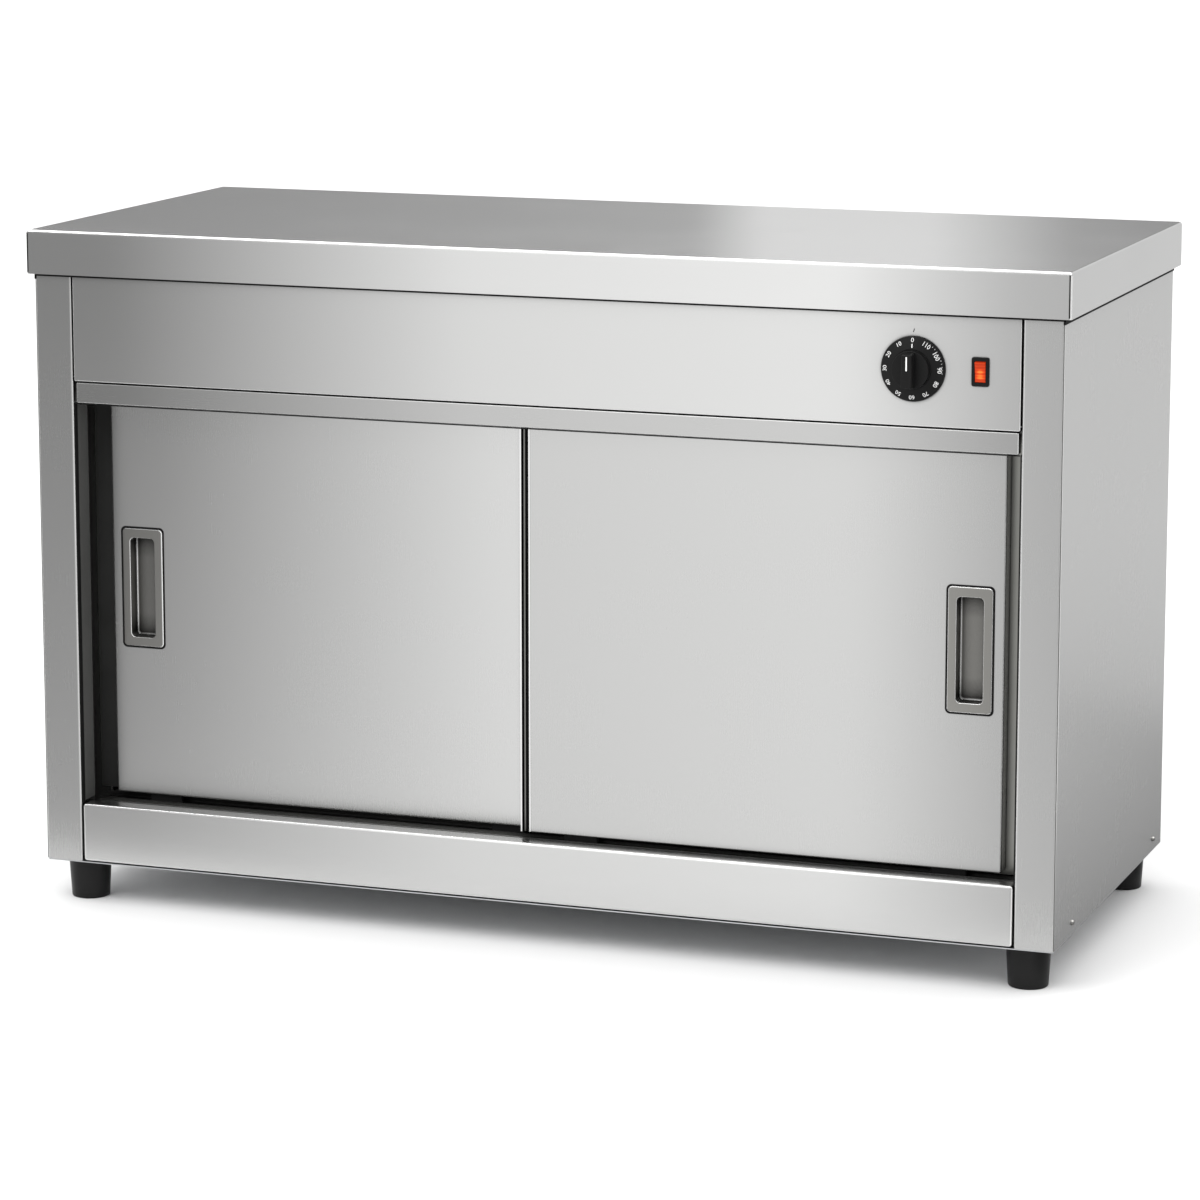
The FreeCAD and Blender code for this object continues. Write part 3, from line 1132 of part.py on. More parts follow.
def build_inside():
    keep(heat_shield(), "heat_shield")
    keep(heating_element(), "heating_element")
    keep(grouped([element_bar(side) for side in SIDES.values()]), "element_supports")
    keep(grouped([element_bush(step) for step in (LEG_STEPS[0], LEG_STEPS[-1])]), "element_bushes")
    keep(thermostat_body(), "thermostat_body")
    keep(thermostat_capillary(), "thermostat_capillary")
    clips = ("at.bulb_start - dim.clip_place", "at.bulb_end + dim.clip_place")
    keep(grouped([bulb_clip(middle) for middle in clips]), "bulb_clips")
    keep(switch_housing(), "switch_housing")
    keep(terminal_block(), "terminal_block")
    keep(cable_gland(), "cable_gland")
    keep(gland_nut(), "gland_nut")
    blades = "at.front + dim.switch_body_depth"
    keep(grouped([control_loom("at.dial_x", "at.thermostat_back", TERMINAL_POLES[3]),
                  control_loom("at.switch_x", blades + " + dim.loom_step", TERMINAL_POLES[4]),
                  element_lead(LEG_STEPS[-1], TERMINAL_POLES[2], 0),
                  element_lead(LEG_STEPS[0], TERMINAL_POLES[1], 1)]), "wiring_looms")
    keep(panel_screws(), "panel_screws")
    keep(grouped([foot(*place) for place in feet_places()]), "feet")
    keep(grouped([foot_bolt(*place) for place in feet_places()]), "foot_bolts")


def build_door(name, side, face, rail):
    """All sub-parts of one door: the right one runs in front of the left one."""
    back = face + " + dim.door_thickness"
    keep(door_skin(side, face), "door_%s_skin" % name)
    inner = door_fill(side, back + " - dim.door_sheet", back, "dim.inner_skin_inset")
    keep(inner, "door_%s_inner" % name)
    keep(door_core(side, face), "door_%s_core" % name)
    keep(door_handle(side, face), "door_%s_handle" % name)
    places = carrier_places(side, "dim.hanger_inset")
    keep(grouped([door_hanger(x, back, rail) for x in places]), "door_%s_hangers" % name)
    for number, x in enumerate(places, 1):
        keep(roller(x, rail), "roller_%s_%d" % (name, number))
    guides = [door_guide(x, rail) for x in carrier_places(side, "dim.shoe_inset")]
    keep(grouped(guides), "door_%s_guides" % name)


def check(name, item):
    """Stops the build when a sub-part or a feature under it has failed."""
    shape = item.Shape
    if shape.isNull() or not shape.isValid() or not shape.Solids:
        raise ValueError("%s has no sound shape" % name)


build_body()
build_inside()
build_door("left", SIDES["left"], "at.rear_door", "at.rear_rail_y")
build_door("right", SIDES["right"], "at.front_door", "at.front_rail_y")
keep(closing_strip(), "door_right_strip")
keep(closing_seal(), "door_right_seal")
keep(thermostat_knob(), "thermostat_knob")
keep(thermostat_spindle(), "thermostat_spindle")
keep(rocker(), "rocker")

document.recompute()
failed = [item.Name for item in document.Objects if {"Invalid", "Error"} & set(item.State)]
if failed:
    raise ValueError("failed features: %s" % ", ".join(failed))
os.makedirs("parts", exist_ok=True)
for node, item in nodes.items():
    check(node, item)
    item.Shape.exportStep(os.path.join("parts", node + ".step"))
    print("%s: %d solids, volume %.0f" % (node, len(item.Shape.Solids), item.Shape.Volume))
print("sub-parts written: %d" % len(nodes))
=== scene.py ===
# %% [markdown]
# # A plate warmer cabinet in brushed steel
# The real object is a low hot cupboard for plates: a folded steel body on four black feet, a thick
# worktop, a plain fascia with a dial and a lit rocker, and two doors that slide on rollers. Every main
# size comes from the imported CAD model, and only the thin lines, bevels and prints that it leaves out have
# sizes of their own here. The first cell loads the CAD frame.

# %% Load the frame
import json
import math

import bmesh
import bpy
import numpy as np
from mathutils import Matrix, Vector


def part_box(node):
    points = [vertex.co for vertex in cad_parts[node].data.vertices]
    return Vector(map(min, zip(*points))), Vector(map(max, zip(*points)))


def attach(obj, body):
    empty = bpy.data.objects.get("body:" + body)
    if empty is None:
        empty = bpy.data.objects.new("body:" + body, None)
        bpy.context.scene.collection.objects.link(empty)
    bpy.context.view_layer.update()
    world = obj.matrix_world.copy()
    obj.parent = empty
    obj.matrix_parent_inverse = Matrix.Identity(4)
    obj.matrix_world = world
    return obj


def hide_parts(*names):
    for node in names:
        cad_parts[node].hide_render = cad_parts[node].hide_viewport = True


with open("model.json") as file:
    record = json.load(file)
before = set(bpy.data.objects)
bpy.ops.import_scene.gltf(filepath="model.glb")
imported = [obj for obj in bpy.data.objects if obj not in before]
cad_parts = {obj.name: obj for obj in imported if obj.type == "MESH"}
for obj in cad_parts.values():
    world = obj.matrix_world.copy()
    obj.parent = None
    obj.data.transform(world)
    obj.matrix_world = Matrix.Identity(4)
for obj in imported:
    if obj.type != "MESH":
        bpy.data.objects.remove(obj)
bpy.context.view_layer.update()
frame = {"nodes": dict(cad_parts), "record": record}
nodes = frame["nodes"]
owner = {node: body for body, members in frame["record"]["behaviour"]["bodies"].items() for node in members}
slot_of = {part["node"]: part["material_slot"] for part in frame["record"]["subparts"]}

# %% [markdown]
# ## The camera
# The photograph was taken with a long lens from the right, a little above the worktop. A long lens keeps
# the uprights almost parallel. The place, the turn and the focal length were solved from the cabinet's
# corners, and a small shift moves the picture down without tilting the camera, as a view camera does.

# %% Camera
CAMERA_PLACE = (1.6894, -4.7102, 1.3230)
CAMERA_TILT = math.radians(80.216)
CAMERA_TURN = math.radians(19.841)
FOCAL_LENGTH, SENSOR_WIDTH = 131.79, 36
FRAME_SHIFT = -0.08
FARTHEST = 200
lens = bpy.data.cameras.new("studio_camera")
lens.lens = FOCAL_LENGTH
lens.sensor_width = SENSOR_WIDTH
lens.shift_y = FRAME_SHIFT
lens.clip_end = FARTHEST
camera = bpy.data.objects.new("studio_camera", lens)
camera.location = CAMERA_PLACE
camera.rotation_euler = (CAMERA_TILT, 0, CAMERA_TURN)
bpy.context.scene.collection.objects.link(camera)
bpy.context.scene.camera = camera
print("camera at", CAMERA_PLACE, "lens", FOCAL_LENGTH, "mm")

# %% [markdown]
# ## Node trees without the clutter
# A material is a small graph. Written out in full, each node takes four or five lines, so one helper adds
# a node, sets its values and joins its inputs. An input is named by its label, or by its number where two
# inputs share a label, as on Math and Mix. Short helpers on top of it give the nodes that come up again
# and again: a sum, a change of range, a mix, a noise.


# %% Node helpers
NOISE_LOW, NOISE_HIGH = 0.3, 0.7


def add(tree, kind, settings=None, inputs=None):
    """Adds a node; an input may be a plain value or another node's output."""
    item = tree.nodes.new(kind)
    for name, setting in (settings or {}).items():
        setattr(item, name, setting)
    for key, content in (inputs or {}).items():
        if isinstance(content, bpy.types.NodeSocket):
            tree.links.new(content, item.inputs[key])
        else:
            item.inputs[key].default_value = content
    return item


def calculated(tree, operation, first, second):
    """The result of one Math node."""
    return add(tree, "ShaderNodeMath", {"operation": operation}, {0: first, 1: second}).outputs[0]


def remapped(tree, content, low, high, new_low, new_high):
    """A value moved from one range to another, smoothly and kept inside it."""
    return add(tree, "ShaderNodeMapRange", {"interpolation_type": "SMOOTHSTEP"},
               {0: content, 1: low, 2: high, 3: new_low, 4: new_high}).outputs[0]


def mixed(tree, share, first, second):
    """A mix of two numbers."""
    return add(tree, "ShaderNodeMix", {"data_type": "FLOAT"}, {0: share, 2: first, 3: second}).outputs[0]


def blended(tree, share, first, second):
    """A mix of two colours."""
    return add(tree, "ShaderNodeMix", {"data_type": "RGBA"}, {0: share, 6: first, 7: second}).outputs[2]


def object_place(tree):
    """The place of each point on its object, in metres."""
    return add(tree, "ShaderNodeTexCoord").outputs["Object"]


def stretched(tree, place, factors):
    """A place with each of its coordinates multiplied."""
    return add(tree, "ShaderNodeVectorMath", {"operation": "MULTIPLY"}, {0: place, 1: factors}).outputs[0]


def noise(tree, place, scale, detail=2.0, roughness=0.5):
    """The value of a Noise Texture, which mostly lies between NOISE_LOW and NOISE_HIGH."""
    return add(tree, "ShaderNodeTexNoise", None,
               {"Vector": place, "Scale": scale, "Detail": detail, "Roughness": roughness}).outputs[0]


print("node helpers ready")


# %% Shader group helper
def shader_group(name, inputs, outputs):
    """An empty shader group with named sockets; returns the tree, its input node and its output node."""
    tree = bpy.data.node_groups.new(name, "ShaderNodeTree")
    for title, kind, start in inputs:
        socket = tree.interface.new_socket(title, in_out="INPUT", socket_type="NodeSocket" + kind)
        socket.default_value = start
    for title, kind in outputs:
        tree.interface.new_socket(title, in_out="OUTPUT", socket_type="NodeSocket" + kind)
    return tree, tree.nodes.new("NodeGroupInput"), tree.nodes.new("NodeGroupOutput")


print("group helper ready")

# %% [markdown]
# ## Brushed grain
# Satin steel is ground with a belt, which leaves thousands of fine straight scratches. They could be
# modelled as bump alone, but at this distance a scratch is thinner than a pixel and only makes noise. So
# the grain is one stretched noise that mostly changes how rough the metal is, with a very small bump
# under it. The input `Along` says how quickly the noise changes along X, Y and Z: a low number runs with
# the grain.

# %% Shader group: brushed grain
BROAD_SCALE = 0.06
grain_tree, source, sink = shader_group(
    "brushed grain",
    [("Along", "Vector", (3.0, 1400.0, 1400.0)), ("Broad share", "Float", 0.15)],
    [("Streak", "Float"), ("Height", "Float")])
fine_place = stretched(grain_tree, object_place(grain_tree), source.outputs["Along"])
broad_place = add(grain_tree, "ShaderNodeVectorMath", {"operation": "SCALE"},
                  {0: fine_place, "Scale": BROAD_SCALE}).outputs[0]
fine = noise(grain_tree, fine_place, 1.0, detail=3.0, roughness=0.65)
broad = noise(grain_tree, broad_place, 1.0, detail=2.0, roughness=0.5)
streak = mixed(grain_tree, source.outputs["Broad share"], fine, broad)
grain_tree.links.new(streak, sink.inputs["Streak"])
grain_tree.links.new(fine, sink.inputs["Height"])
print("group:", grain_tree.name)

# %% [markdown]
# ## Hands and cloths
# Hands and wiping cloths leave soft patches on steel where the gloss changes. A painted map of them would
# need an image. Two noises do as well: one for the patches and one, turned and stretched, for the strokes
# of the cloth. Their product is high only where both are, which gives marks with soft, uneven ends.

# %% Shader group: wiped marks
STROKE_TURN, STROKE_STRETCH = (0.3, 0.5, 0.2), (1.0, 1.0, 3.5)
MARK_FROM, MARK_TO = 0.18, 0.42
marks_tree, source, sink = shader_group(
    "wiped marks", [("Size", "Float", 7.0), ("Amount", "Float", 1.0)], [("Mask", "Float")])
place = object_place(marks_tree)
patches = noise(marks_tree, place, source.outputs["Size"], detail=3.0, roughness=0.55)
stroke_place = add(marks_tree, "ShaderNodeMapping", None,
                   {"Vector": place, "Rotation": STROKE_TURN, "Scale": STROKE_STRETCH}).outputs[0]
strokes = noise(marks_tree, stroke_place, source.outputs["Size"], detail=4.0, roughness=0.6)
both = calculated(marks_tree, "MULTIPLY", patches, strokes)
mask = remapped(marks_tree, both, MARK_FROM, MARK_TO, 0.0, 1.0)
marks_tree.links.new(calculated(marks_tree, "MULTIPLY", mask, source.outputs["Amount"]), sink.inputs["Mask"])
print("group:", marks_tree.name)

# %% [markdown]
# ## Slightly wavy panels, and moulded skin
# A thin panel is never quite flat, so the reflections in it sway a little. Bending the mesh would do it,
# but it would move the edges too. A very wide, very low noise as a height only bends the light. Plastics
# have a skin instead: a fine grain from the mould, and patches where the gloss differs.

# %% Shader groups: panel sway and moulded skin
sway_tree, source, sink = shader_group(
    "panel sway", [("Size", "Float", 3.0), ("Along", "Vector", (1.0, 1.0, 0.45))], [("Height", "Float")])
sway_place = stretched(sway_tree, object_place(sway_tree), source.outputs["Along"])
sway_height = noise(sway_tree, sway_place, source.outputs["Size"], detail=1.0, roughness=0.3)
sway_tree.links.new(sway_height, sink.inputs["Height"])

skin_tree, source, sink = shader_group(
    "moulded skin", [("Grain per metre", "Float", 1800.0), ("Patch per metre", "Float", 40.0)],
    [("Height", "Float"), ("Patch", "Float")])
place = object_place(skin_tree)
skin_height = noise(skin_tree, place, source.outputs["Grain per metre"], detail=2.0, roughness=0.6)
skin_patch = noise(skin_tree, place, source.outputs["Patch per metre"], detail=3.0, roughness=0.5)
skin_tree.links.new(skin_height, sink.inputs["Height"])
skin_tree.links.new(skin_patch, sink.inputs["Patch"])
print("groups:", sway_tree.name, "and", skin_tree.name)

# %% [markdown]
# ## Painted shade in seams
# Seams and recesses look darker than the open panel, because little light reaches them. Real shadows give
# part of that, but satin steel also reflects the bright room into its seams, so the rest is painted shade.
# The Ambient Occlusion node measures how closed in a point is, within a reach, and the group turns that
# into a shade that darkens the base colour.

# %% Shader group: seam shade
SHUT_BELOW, OPEN_ABOVE = 0.3, 0.97
seam_tree, source, sink = shader_group(
    "seam shade", [("Reach", "Float", 0.03), ("Closed", "Float", 0.1)], [("Shade", "Float")])
opening = add(seam_tree, "ShaderNodeAmbientOcclusion", {"samples": 8}, {"Distance": source.outputs["Reach"]})
openness = remapped(seam_tree, opening.outputs["AO"], SHUT_BELOW, OPEN_ABOVE, 0.0, 1.0)
seam_tree.links.new(mixed(seam_tree, openness, source.outputs["Closed"], 1.0), sink.inputs["Shade"])
print("group:", seam_tree.name)

# %% [markdown]
# ## Painted highlights on folds
# Folds are the opposite of seams: each fold mirrors the bright room and draws a bright line, and that
# line is painted here, as a lighter base colour with a little less roughness. A panel faces straight along
# X, Y or Z and a fold doesn't, so the largest part of the normal tells them apart: it is one on a panel
# and less on a fold.

# %% Shader group: painted fold highlight
FOLD_BELOW, PANEL_ABOVE = 0.80, 0.985
fold_highlight_tree, source, sink = shader_group("painted fold highlight", [("Amount", "Float", 1.0)], [("Shine", "Float")])
facing = add(fold_highlight_tree, "ShaderNodeTexCoord").outputs["Normal"]
unsigned = add(fold_highlight_tree, "ShaderNodeVectorMath", {"operation": "ABSOLUTE"}, {0: facing}).outputs[0]
parts = add(fold_highlight_tree, "ShaderNodeSeparateXYZ", None, {0: unsigned}).outputs
larger = calculated(fold_highlight_tree, "MAXIMUM", parts[0], parts[1])
largest = calculated(fold_highlight_tree, "MAXIMUM", larger, parts[2])
turned = remapped(fold_highlight_tree, largest, FOLD_BELOW, PANEL_ABOVE, 1.0, 0.0)
fold_highlight_tree.links.new(calculated(fold_highlight_tree, "MULTIPLY", turned, source.outputs["Amount"]),
                     sink.inputs["Shine"])
print("group:", fold_highlight_tree.name)

# %% [markdown]
# ## Metals
# One function makes every metal. Steel reflects what stands round it, so its colour is a plain light grey
# and most of the character is in the roughness: a base value, a little more or less with the grain, and more
# where it was wiped. The colour also carries painted shade in the seams and a painted highlight on the
# folds. The bump has real heights in metres, which keeps it believable from any distance.


# %% Material helpers
def new_material(name):
    """A new material, its tree and its Principled shader."""
    material = bpy.data.materials.new(name)
    material.use_nodes = True
    return material, material.node_tree, material.node_tree.nodes["Principled BSDF"]


def placed_group(tree, group, values=None):
    """A group node with its own values."""
    return add(tree, "ShaderNodeGroup", {"node_tree": group}, values)


def bumped(tree, height, distance, normal=None):
    """The normal that a height gives, where distance is the real height in metres of a full step."""
    inputs = {"Strength": 1.0, "Distance": distance, "Height": height}
    if normal is not None:
        inputs["Normal"] = normal
    return add(tree, "ShaderNodeBump", None, inputs).outputs[0]


def feed(tree, shader, contents):
    """Joins outputs to the named sockets of a shader."""
    for title, content in contents.items():
        tree.links.new(content, shader.inputs[title])


def opaque(colour, factor=1.0):
    """A colour times a factor, with the fourth number that a socket wants."""
    return tuple(min(1, part * factor) for part in colour) + (1,)


print("material helpers ready")

# %% A metal from the groups
SEAM_PAINTED_SHADE = (0.004, 0.004, 0.004, 1)
FOLD_PAINTED_HIGHLIGHT = (0.93, 0.93, 0.925, 1)
WIPED_TONE, WIPED_SHARE, WIPED_ROUGHER = 0.82, 0.12, 0.05
FOLD_SMOOTHER = 0.08


def metal(name, colour, rough, along, spread=0.02, sway=0.0002, marks=0.5, tone=0.006,
          grain_height=0.0000001, reach=0.03, closed=0.10, shine=0.75):
    """A satin metal: its colour, its roughness and the direction of its grain.

    The grain moves the roughness by spread and the colour by tone. The sway and grain heights are in metres.
    Seams get painted shade down to closed within reach, and marks and shine are the shares of wiping marks
    and of the painted highlight on folds.
    """
    material, tree, shader = new_material(name)
    grain = placed_group(tree, grain_tree, {"Along": along}).outputs
    wiped = placed_group(tree, marks_tree, {"Amount": marks}).outputs["Mask"]
    wave = placed_group(tree, sway_tree).outputs["Height"]
    seam = placed_group(tree, seam_tree, {"Reach": reach, "Closed": closed}).outputs["Shade"]
    fold = placed_group(tree, fold_highlight_tree, {"Amount": shine}).outputs["Shine"]
    tinted = blended(tree, grain["Streak"], opaque(colour, 1 - tone), opaque(colour, 1 + tone))
    dulled = blended(tree, calculated(tree, "MULTIPLY", wiped, WIPED_SHARE), tinted,
                     opaque(colour, WIPED_TONE))
    # Painted shade darkens the seams and a painted highlight lightens the folds.
    shaded = blended(tree, seam, SEAM_PAINTED_SHADE, blended(tree, fold, dulled, FOLD_PAINTED_HIGHLIGHT))
    satin = remapped(tree, grain["Streak"], NOISE_LOW, NOISE_HIGH, rough - spread / 2, rough + spread / 2)
    rubbed = calculated(tree, "ADD", satin, calculated(tree, "MULTIPLY", wiped, WIPED_ROUGHER))
    roughness = calculated(tree, "SUBTRACT", rubbed, calculated(tree, "MULTIPLY", fold, FOLD_SMOOTHER))
    scratched = bumped(tree, grain["Height"], grain_height)
    shader.inputs["Metallic"].default_value = 1.0
    feed(tree, shader, {"Base Color": shaded, "Roughness": roughness,
                        "Normal": bumped(tree, wave, sway, scratched)})
    return material


print("seams darken to", SEAM_PAINTED_SHADE[:3], "and folds brighten to", FOLD_PAINTED_HIGHLIGHT[:3])

# %% [markdown]
# ## The steels of the cabinet
# All the panels are the same satin steel, but the worktop is ground along its length, the doors and
# casings upwards, and the liners inside are dull. Each finish is kept under the name of its material
# slot. Four pieces have a darker tone of their own, as painted reflection and painted shade: the right
# door and its pull mirror a part of the room that isn't shown, and the jamb strip and the rail over the
# doors stand in shade.

# %% Steels
LEVEL_GRAIN = (5.0, 1400.0, 1400.0)
UPRIGHT_GRAIN = (1400.0, 1400.0, 5.0)
QUIET = {"spread": 0.006, "sway": 0.0001, "marks": 0.1, "tone": 0.002, "grain_height": 0.00000001}
# The pulls' cups get deep painted shade and a full painted highlight on their folds.
PULL = {"sway": 0.0, "reach": 0.026, "closed": 0.03, "shine": 1.0}


def grey(level, warmth=0.005):
    """A grey with a little less blue in it, as steel has."""
    return (level, level, level - warmth)


finish = {
    "stainless_top": metal("satin_worktop", grey(0.61), 0.22, LEVEL_GRAIN, shine=0.15),
    "stainless_front": metal("satin_fascia", grey(0.57), 0.25, LEVEL_GRAIN, spread=0.010, marks=0.2,
                             tone=0.003),
    # The casing's seam shade reaches far: painted shade on the posts' inner walls and low on the side.
    "stainless_side": metal("satin_casing", grey(0.56), 0.27, UPRIGHT_GRAIN, reach=0.10, closed=0.42,
                            shine=0.2, **QUIET),
    "stainless_door": metal("satin_door", grey(0.58), 0.27, UPRIGHT_GRAIN, reach=0.015, **QUIET),
    "stainless_rear": metal("satin_back", grey(0.54, 0.01), 0.32, LEVEL_GRAIN),
    "stainless_inner": metal("dull_liner", grey(0.50, 0.015), 0.30, LEVEL_GRAIN, marks=0.9),
    "handle_steel": metal("satin_handle", (0.34, 0.335, 0.32), 0.33, UPRIGHT_GRAIN, **PULL),
}
# Painted reflection darkens the right door and its pull, painted shade the jamb strip and the rail.
own_finish_and_painted_light = {
    "door_right_skin": metal("satin_right_door", grey(0.505), 0.27, UPRIGHT_GRAIN, reach=0.015, **QUIET),
    "door_right_handle": metal("satin_right_pull", (0.275, 0.27, 0.255), 0.33, UPRIGHT_GRAIN, **PULL),
    "jamb_strip": metal("satin_jamb", grey(0.31, 0.02), 0.30, UPRIGHT_GRAIN, reach=0.008, closed=0.5,
                        shine=0.2),
    "top_track_front": metal("satin_rail", grey(0.455), 0.25, LEVEL_GRAIN, reach=0.005, closed=0.6,
                             shine=1.0),
}
print("steels:", len(finish), "for slots and", len(own_finish_and_painted_light), "for single pieces")

# %% Other metals
BARE = {"sway": 0.0, "shine": 0.0}
finish.update({
    "galvanised_steel": metal("galvanised", (0.52, 0.53, 0.54), 0.42, (60.0, 60.0, 60.0), spread=0.3,
                              tone=0.16, shine=0.0),
    "element_steel": metal("element_sheath", (0.30, 0.28, 0.26), 0.38, LEVEL_GRAIN, **BARE),
    "copper_tube": metal("copper", (0.72, 0.38, 0.26), 0.26, (90.0, 90.0, 90.0), tone=0.12, **BARE),
    "strip_aluminium": metal("anodised_strip", grey(0.20, 0.01), 0.30, UPRIGHT_GRAIN, closed=0.3, **BARE),
    "screw_steel": metal("bright_steel", (0.36, 0.355, 0.34), 0.22, (200.0, 200.0, 200.0), **BARE),
})
print("metals for slots:", len(finish))

# %% [markdown]
# ## Plastics, rubber, wool and ceramic
# These are dielectrics: their colour is their own and only the gloss comes from the light. A moulded part
# has a skin that is finer than a millimetre and patches where it was handled, so colour, roughness and
# bump all read the same group. Mineral wool is loose fibre: the same group with a much coarser grain and
# a real height.

# %% A moulded material from its group
GLOSS_CHANGE = 0.05


def moulded(name, colour, rough, grain=1800.0, patch=40.0, height=0.00002, change=0.12, coat=0.0, sheen=0.5):
    """A moulded or fibrous material: its colour, roughness, grains and patches per metre, grain height,
    change of colour between patches, clear coat and gloss."""
    material, tree, shader = new_material(name)
    skin = placed_group(tree, skin_tree, {"Grain per metre": grain, "Patch per metre": patch}).outputs
    tinted = blended(tree, skin["Patch"], opaque(colour, 1 - change), opaque(colour, 1 + change))
    roughness = remapped(tree, skin["Patch"], NOISE_LOW, NOISE_HIGH, rough - GLOSS_CHANGE,
                         rough + GLOSS_CHANGE)
    shader.inputs["Coat Weight"].default_value = coat
    shader.inputs["Specular IOR Level"].default_value = sheen
    feed(tree, shader, {"Base Color": tinted, "Roughness": roughness,
                        "Normal": bumped(tree, skin["Height"], height)})
    return material


print("roughness changes by", GLOSS_CHANGE, "between patches")

# %% Plastic and soft materials
finish.update({
    "knob_black": moulded("dial_black", grey(0.009, 0), 0.42, sheen=0.10),
    "switch_black": moulded("switch_black", grey(0.008, 0), 0.40, sheen=0.10),
    "gland_black": moulded("gland_black", grey(0.018, 0), 0.45, sheen=0.3),
    "foot_black": moulded("foot_black", grey(0.010, 0), 0.38, grain=1200.0, height=0.00003, sheen=0.16),
    "seal_rubber": moulded("seal_rubber", grey(0.008, 0), 0.65, grain=900.0, sheen=0.05),
    "guide_nylon": moulded("guide_nylon", grey(0.012, 0), 0.45, sheen=0.1),
    "roller_nylon": moulded("roller_nylon", (0.70, 0.69, 0.66), 0.35, change=0.05),
    "ceramic_white": moulded("ceramic", (0.80, 0.79, 0.75), 0.30, grain=500.0, change=0.04, coat=0.2),
    "moulded_beige": moulded("beige_body", (0.66, 0.60, 0.47), 0.45, change=0.06),
    "loom_sleeve": moulded("loom_sleeve", (0.16, 0.13, 0.10), 0.60, grain=2500.0, height=0.00006),
    "insulation_wool": moulded("mineral_wool", (0.56, 0.50, 0.33), 0.95, grain=260.0, patch=30.0,
                               height=0.0012, change=0.25),
})
own_finish_and_painted_light["jamb_seal"] = moulded("jamb_seal_grey", grey(0.030, 0.001), 0.50, grain=900.0, sheen=0.25)
print("materials for slots:", len(finish))

# %% [markdown]
# ## Folds that catch the light
# The CAD mesh of a node is loose triangles, so each facet of a fold would show as a flat band. A weld
# joins the triangles of a copy. Then every corner needs a normal that turns smoothly round the folds but
# stays exactly upright on the panels, or a big flat door would look pillowed. So each corner averages the
# faces round it, and each face counts by the area of the whole flat region that it belongs to: a panel
# always wins.

# %% Normals that follow the folds
FOLD_ANGLE = math.radians(62)
DIRECTION_DIGITS, DISTANCE_DIGITS = 3, 4
TINY = 1e-12


def region_areas(mesh, normals):
    """For each face, the area of all the faces that lie in the same plane."""
    areas = np.empty(len(mesh.polygons))
    middles = np.empty(len(mesh.polygons) * 3)
    mesh.polygons.foreach_get("area", areas)
    mesh.polygons.foreach_get("center", middles)
    distances = np.sum(normals * middles.reshape(-1, 3), axis=1)
    planes = np.column_stack([np.round(normals, DIRECTION_DIGITS), np.round(distances, DISTANCE_DIGITS)])
    region = np.unique(planes, axis=0, return_inverse=True)[1].ravel()
    return np.bincount(region, areas)[region]


def shade_folds(mesh):
    """Gives every face corner a normal that is flat on panels and smooth round folds."""
    count = len(mesh.polygons)
    normals = np.empty(count * 3)
    mesh.polygons.foreach_get("normal", normals)
    normals = normals.reshape(-1, 3)
    weight = region_areas(mesh, normals)
    corner_vertex = np.empty(len(mesh.loops), dtype=np.int64)
    mesh.loops.foreach_get("vertex_index", corner_vertex)
    corner_face = np.repeat(np.arange(count), [len(face.vertices) for face in mesh.polygons])
    order = np.argsort(corner_vertex, kind="stable")
    edges = np.flatnonzero(np.diff(corner_vertex[order])) + 1
    result = np.empty((len(mesh.loops), 3))
    for corners in np.split(order, edges):
        faces = corner_face[corners]
        around = normals[faces]
        near = (around @ around.T) > math.cos(FOLD_ANGLE)
        result[corners] = (near * weight[faces]) @ around
    result /= np.maximum(np.linalg.norm(result, axis=1, keepdims=True), TINY)
    mesh.polygons.foreach_set("use_smooth", np.ones(count, dtype=bool))
    mesh.normals_split_custom_set([tuple(normal) for normal in result])


print("faces join into a fold up to", round(math.degrees(FOLD_ANGLE)), "degrees")

# %% Weld, finish and dress a piece
WELD = 0.00001


def opened(mesh):
    """A bmesh with the shape of a mesh, ready to be worked on."""
    work = bmesh.new()
    work.from_mesh(mesh)
    return work


def put_back(work, mesh):
    """Writes a bmesh into a mesh, frees it and returns the mesh."""
    work.to_mesh(mesh)
    work.free()
    return mesh


def welded(node):
    """A welded copy of a CAD node's mesh."""
    work = opened(nodes[node].data)
    bmesh.ops.remove_doubles(work, verts=work.verts, dist=WELD)
    return put_back(work, bpy.data.meshes.new(node + "_shape"))


def finished(name, mesh, material, body, stands_for=()):
    """Makes a piece of a mesh: its material, the body it rides on and the nodes it stands for."""
    mesh.materials.clear()
    mesh.materials.append(material)
    piece = bpy.data.objects.new(name, mesh)
    bpy.context.scene.collection.objects.link(piece)
    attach(piece, body)
    if stands_for:
        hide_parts(*stands_for)
    return piece


def finish_of(node):
    """The tone that a node has of its own, which on the steels is painted reflection and painted shade, or
    else the finish of its slot.
    """
    return own_finish_and_painted_light.get(node, finish[slot_of[node]])


def dressed(node):
    """The CAD node's own shape, welded and shaded, as a finished piece."""
    mesh = welded(node)
    shade_folds(mesh)
    return finished(node + "_piece", mesh, finish_of(node), owner[node], [node])


print("welding points closer than", WELD, "m")

# %% [markdown]
# ## The folded steel
# The body, the doors, the tracks and the trays inside are exactly the CAD shapes, and so are the small
# turned and bent parts, so each is a welded and shaded copy. Flat slabs that have no fold, such as the
# insulation, need no copy: the CAD node stays and only gets its material.

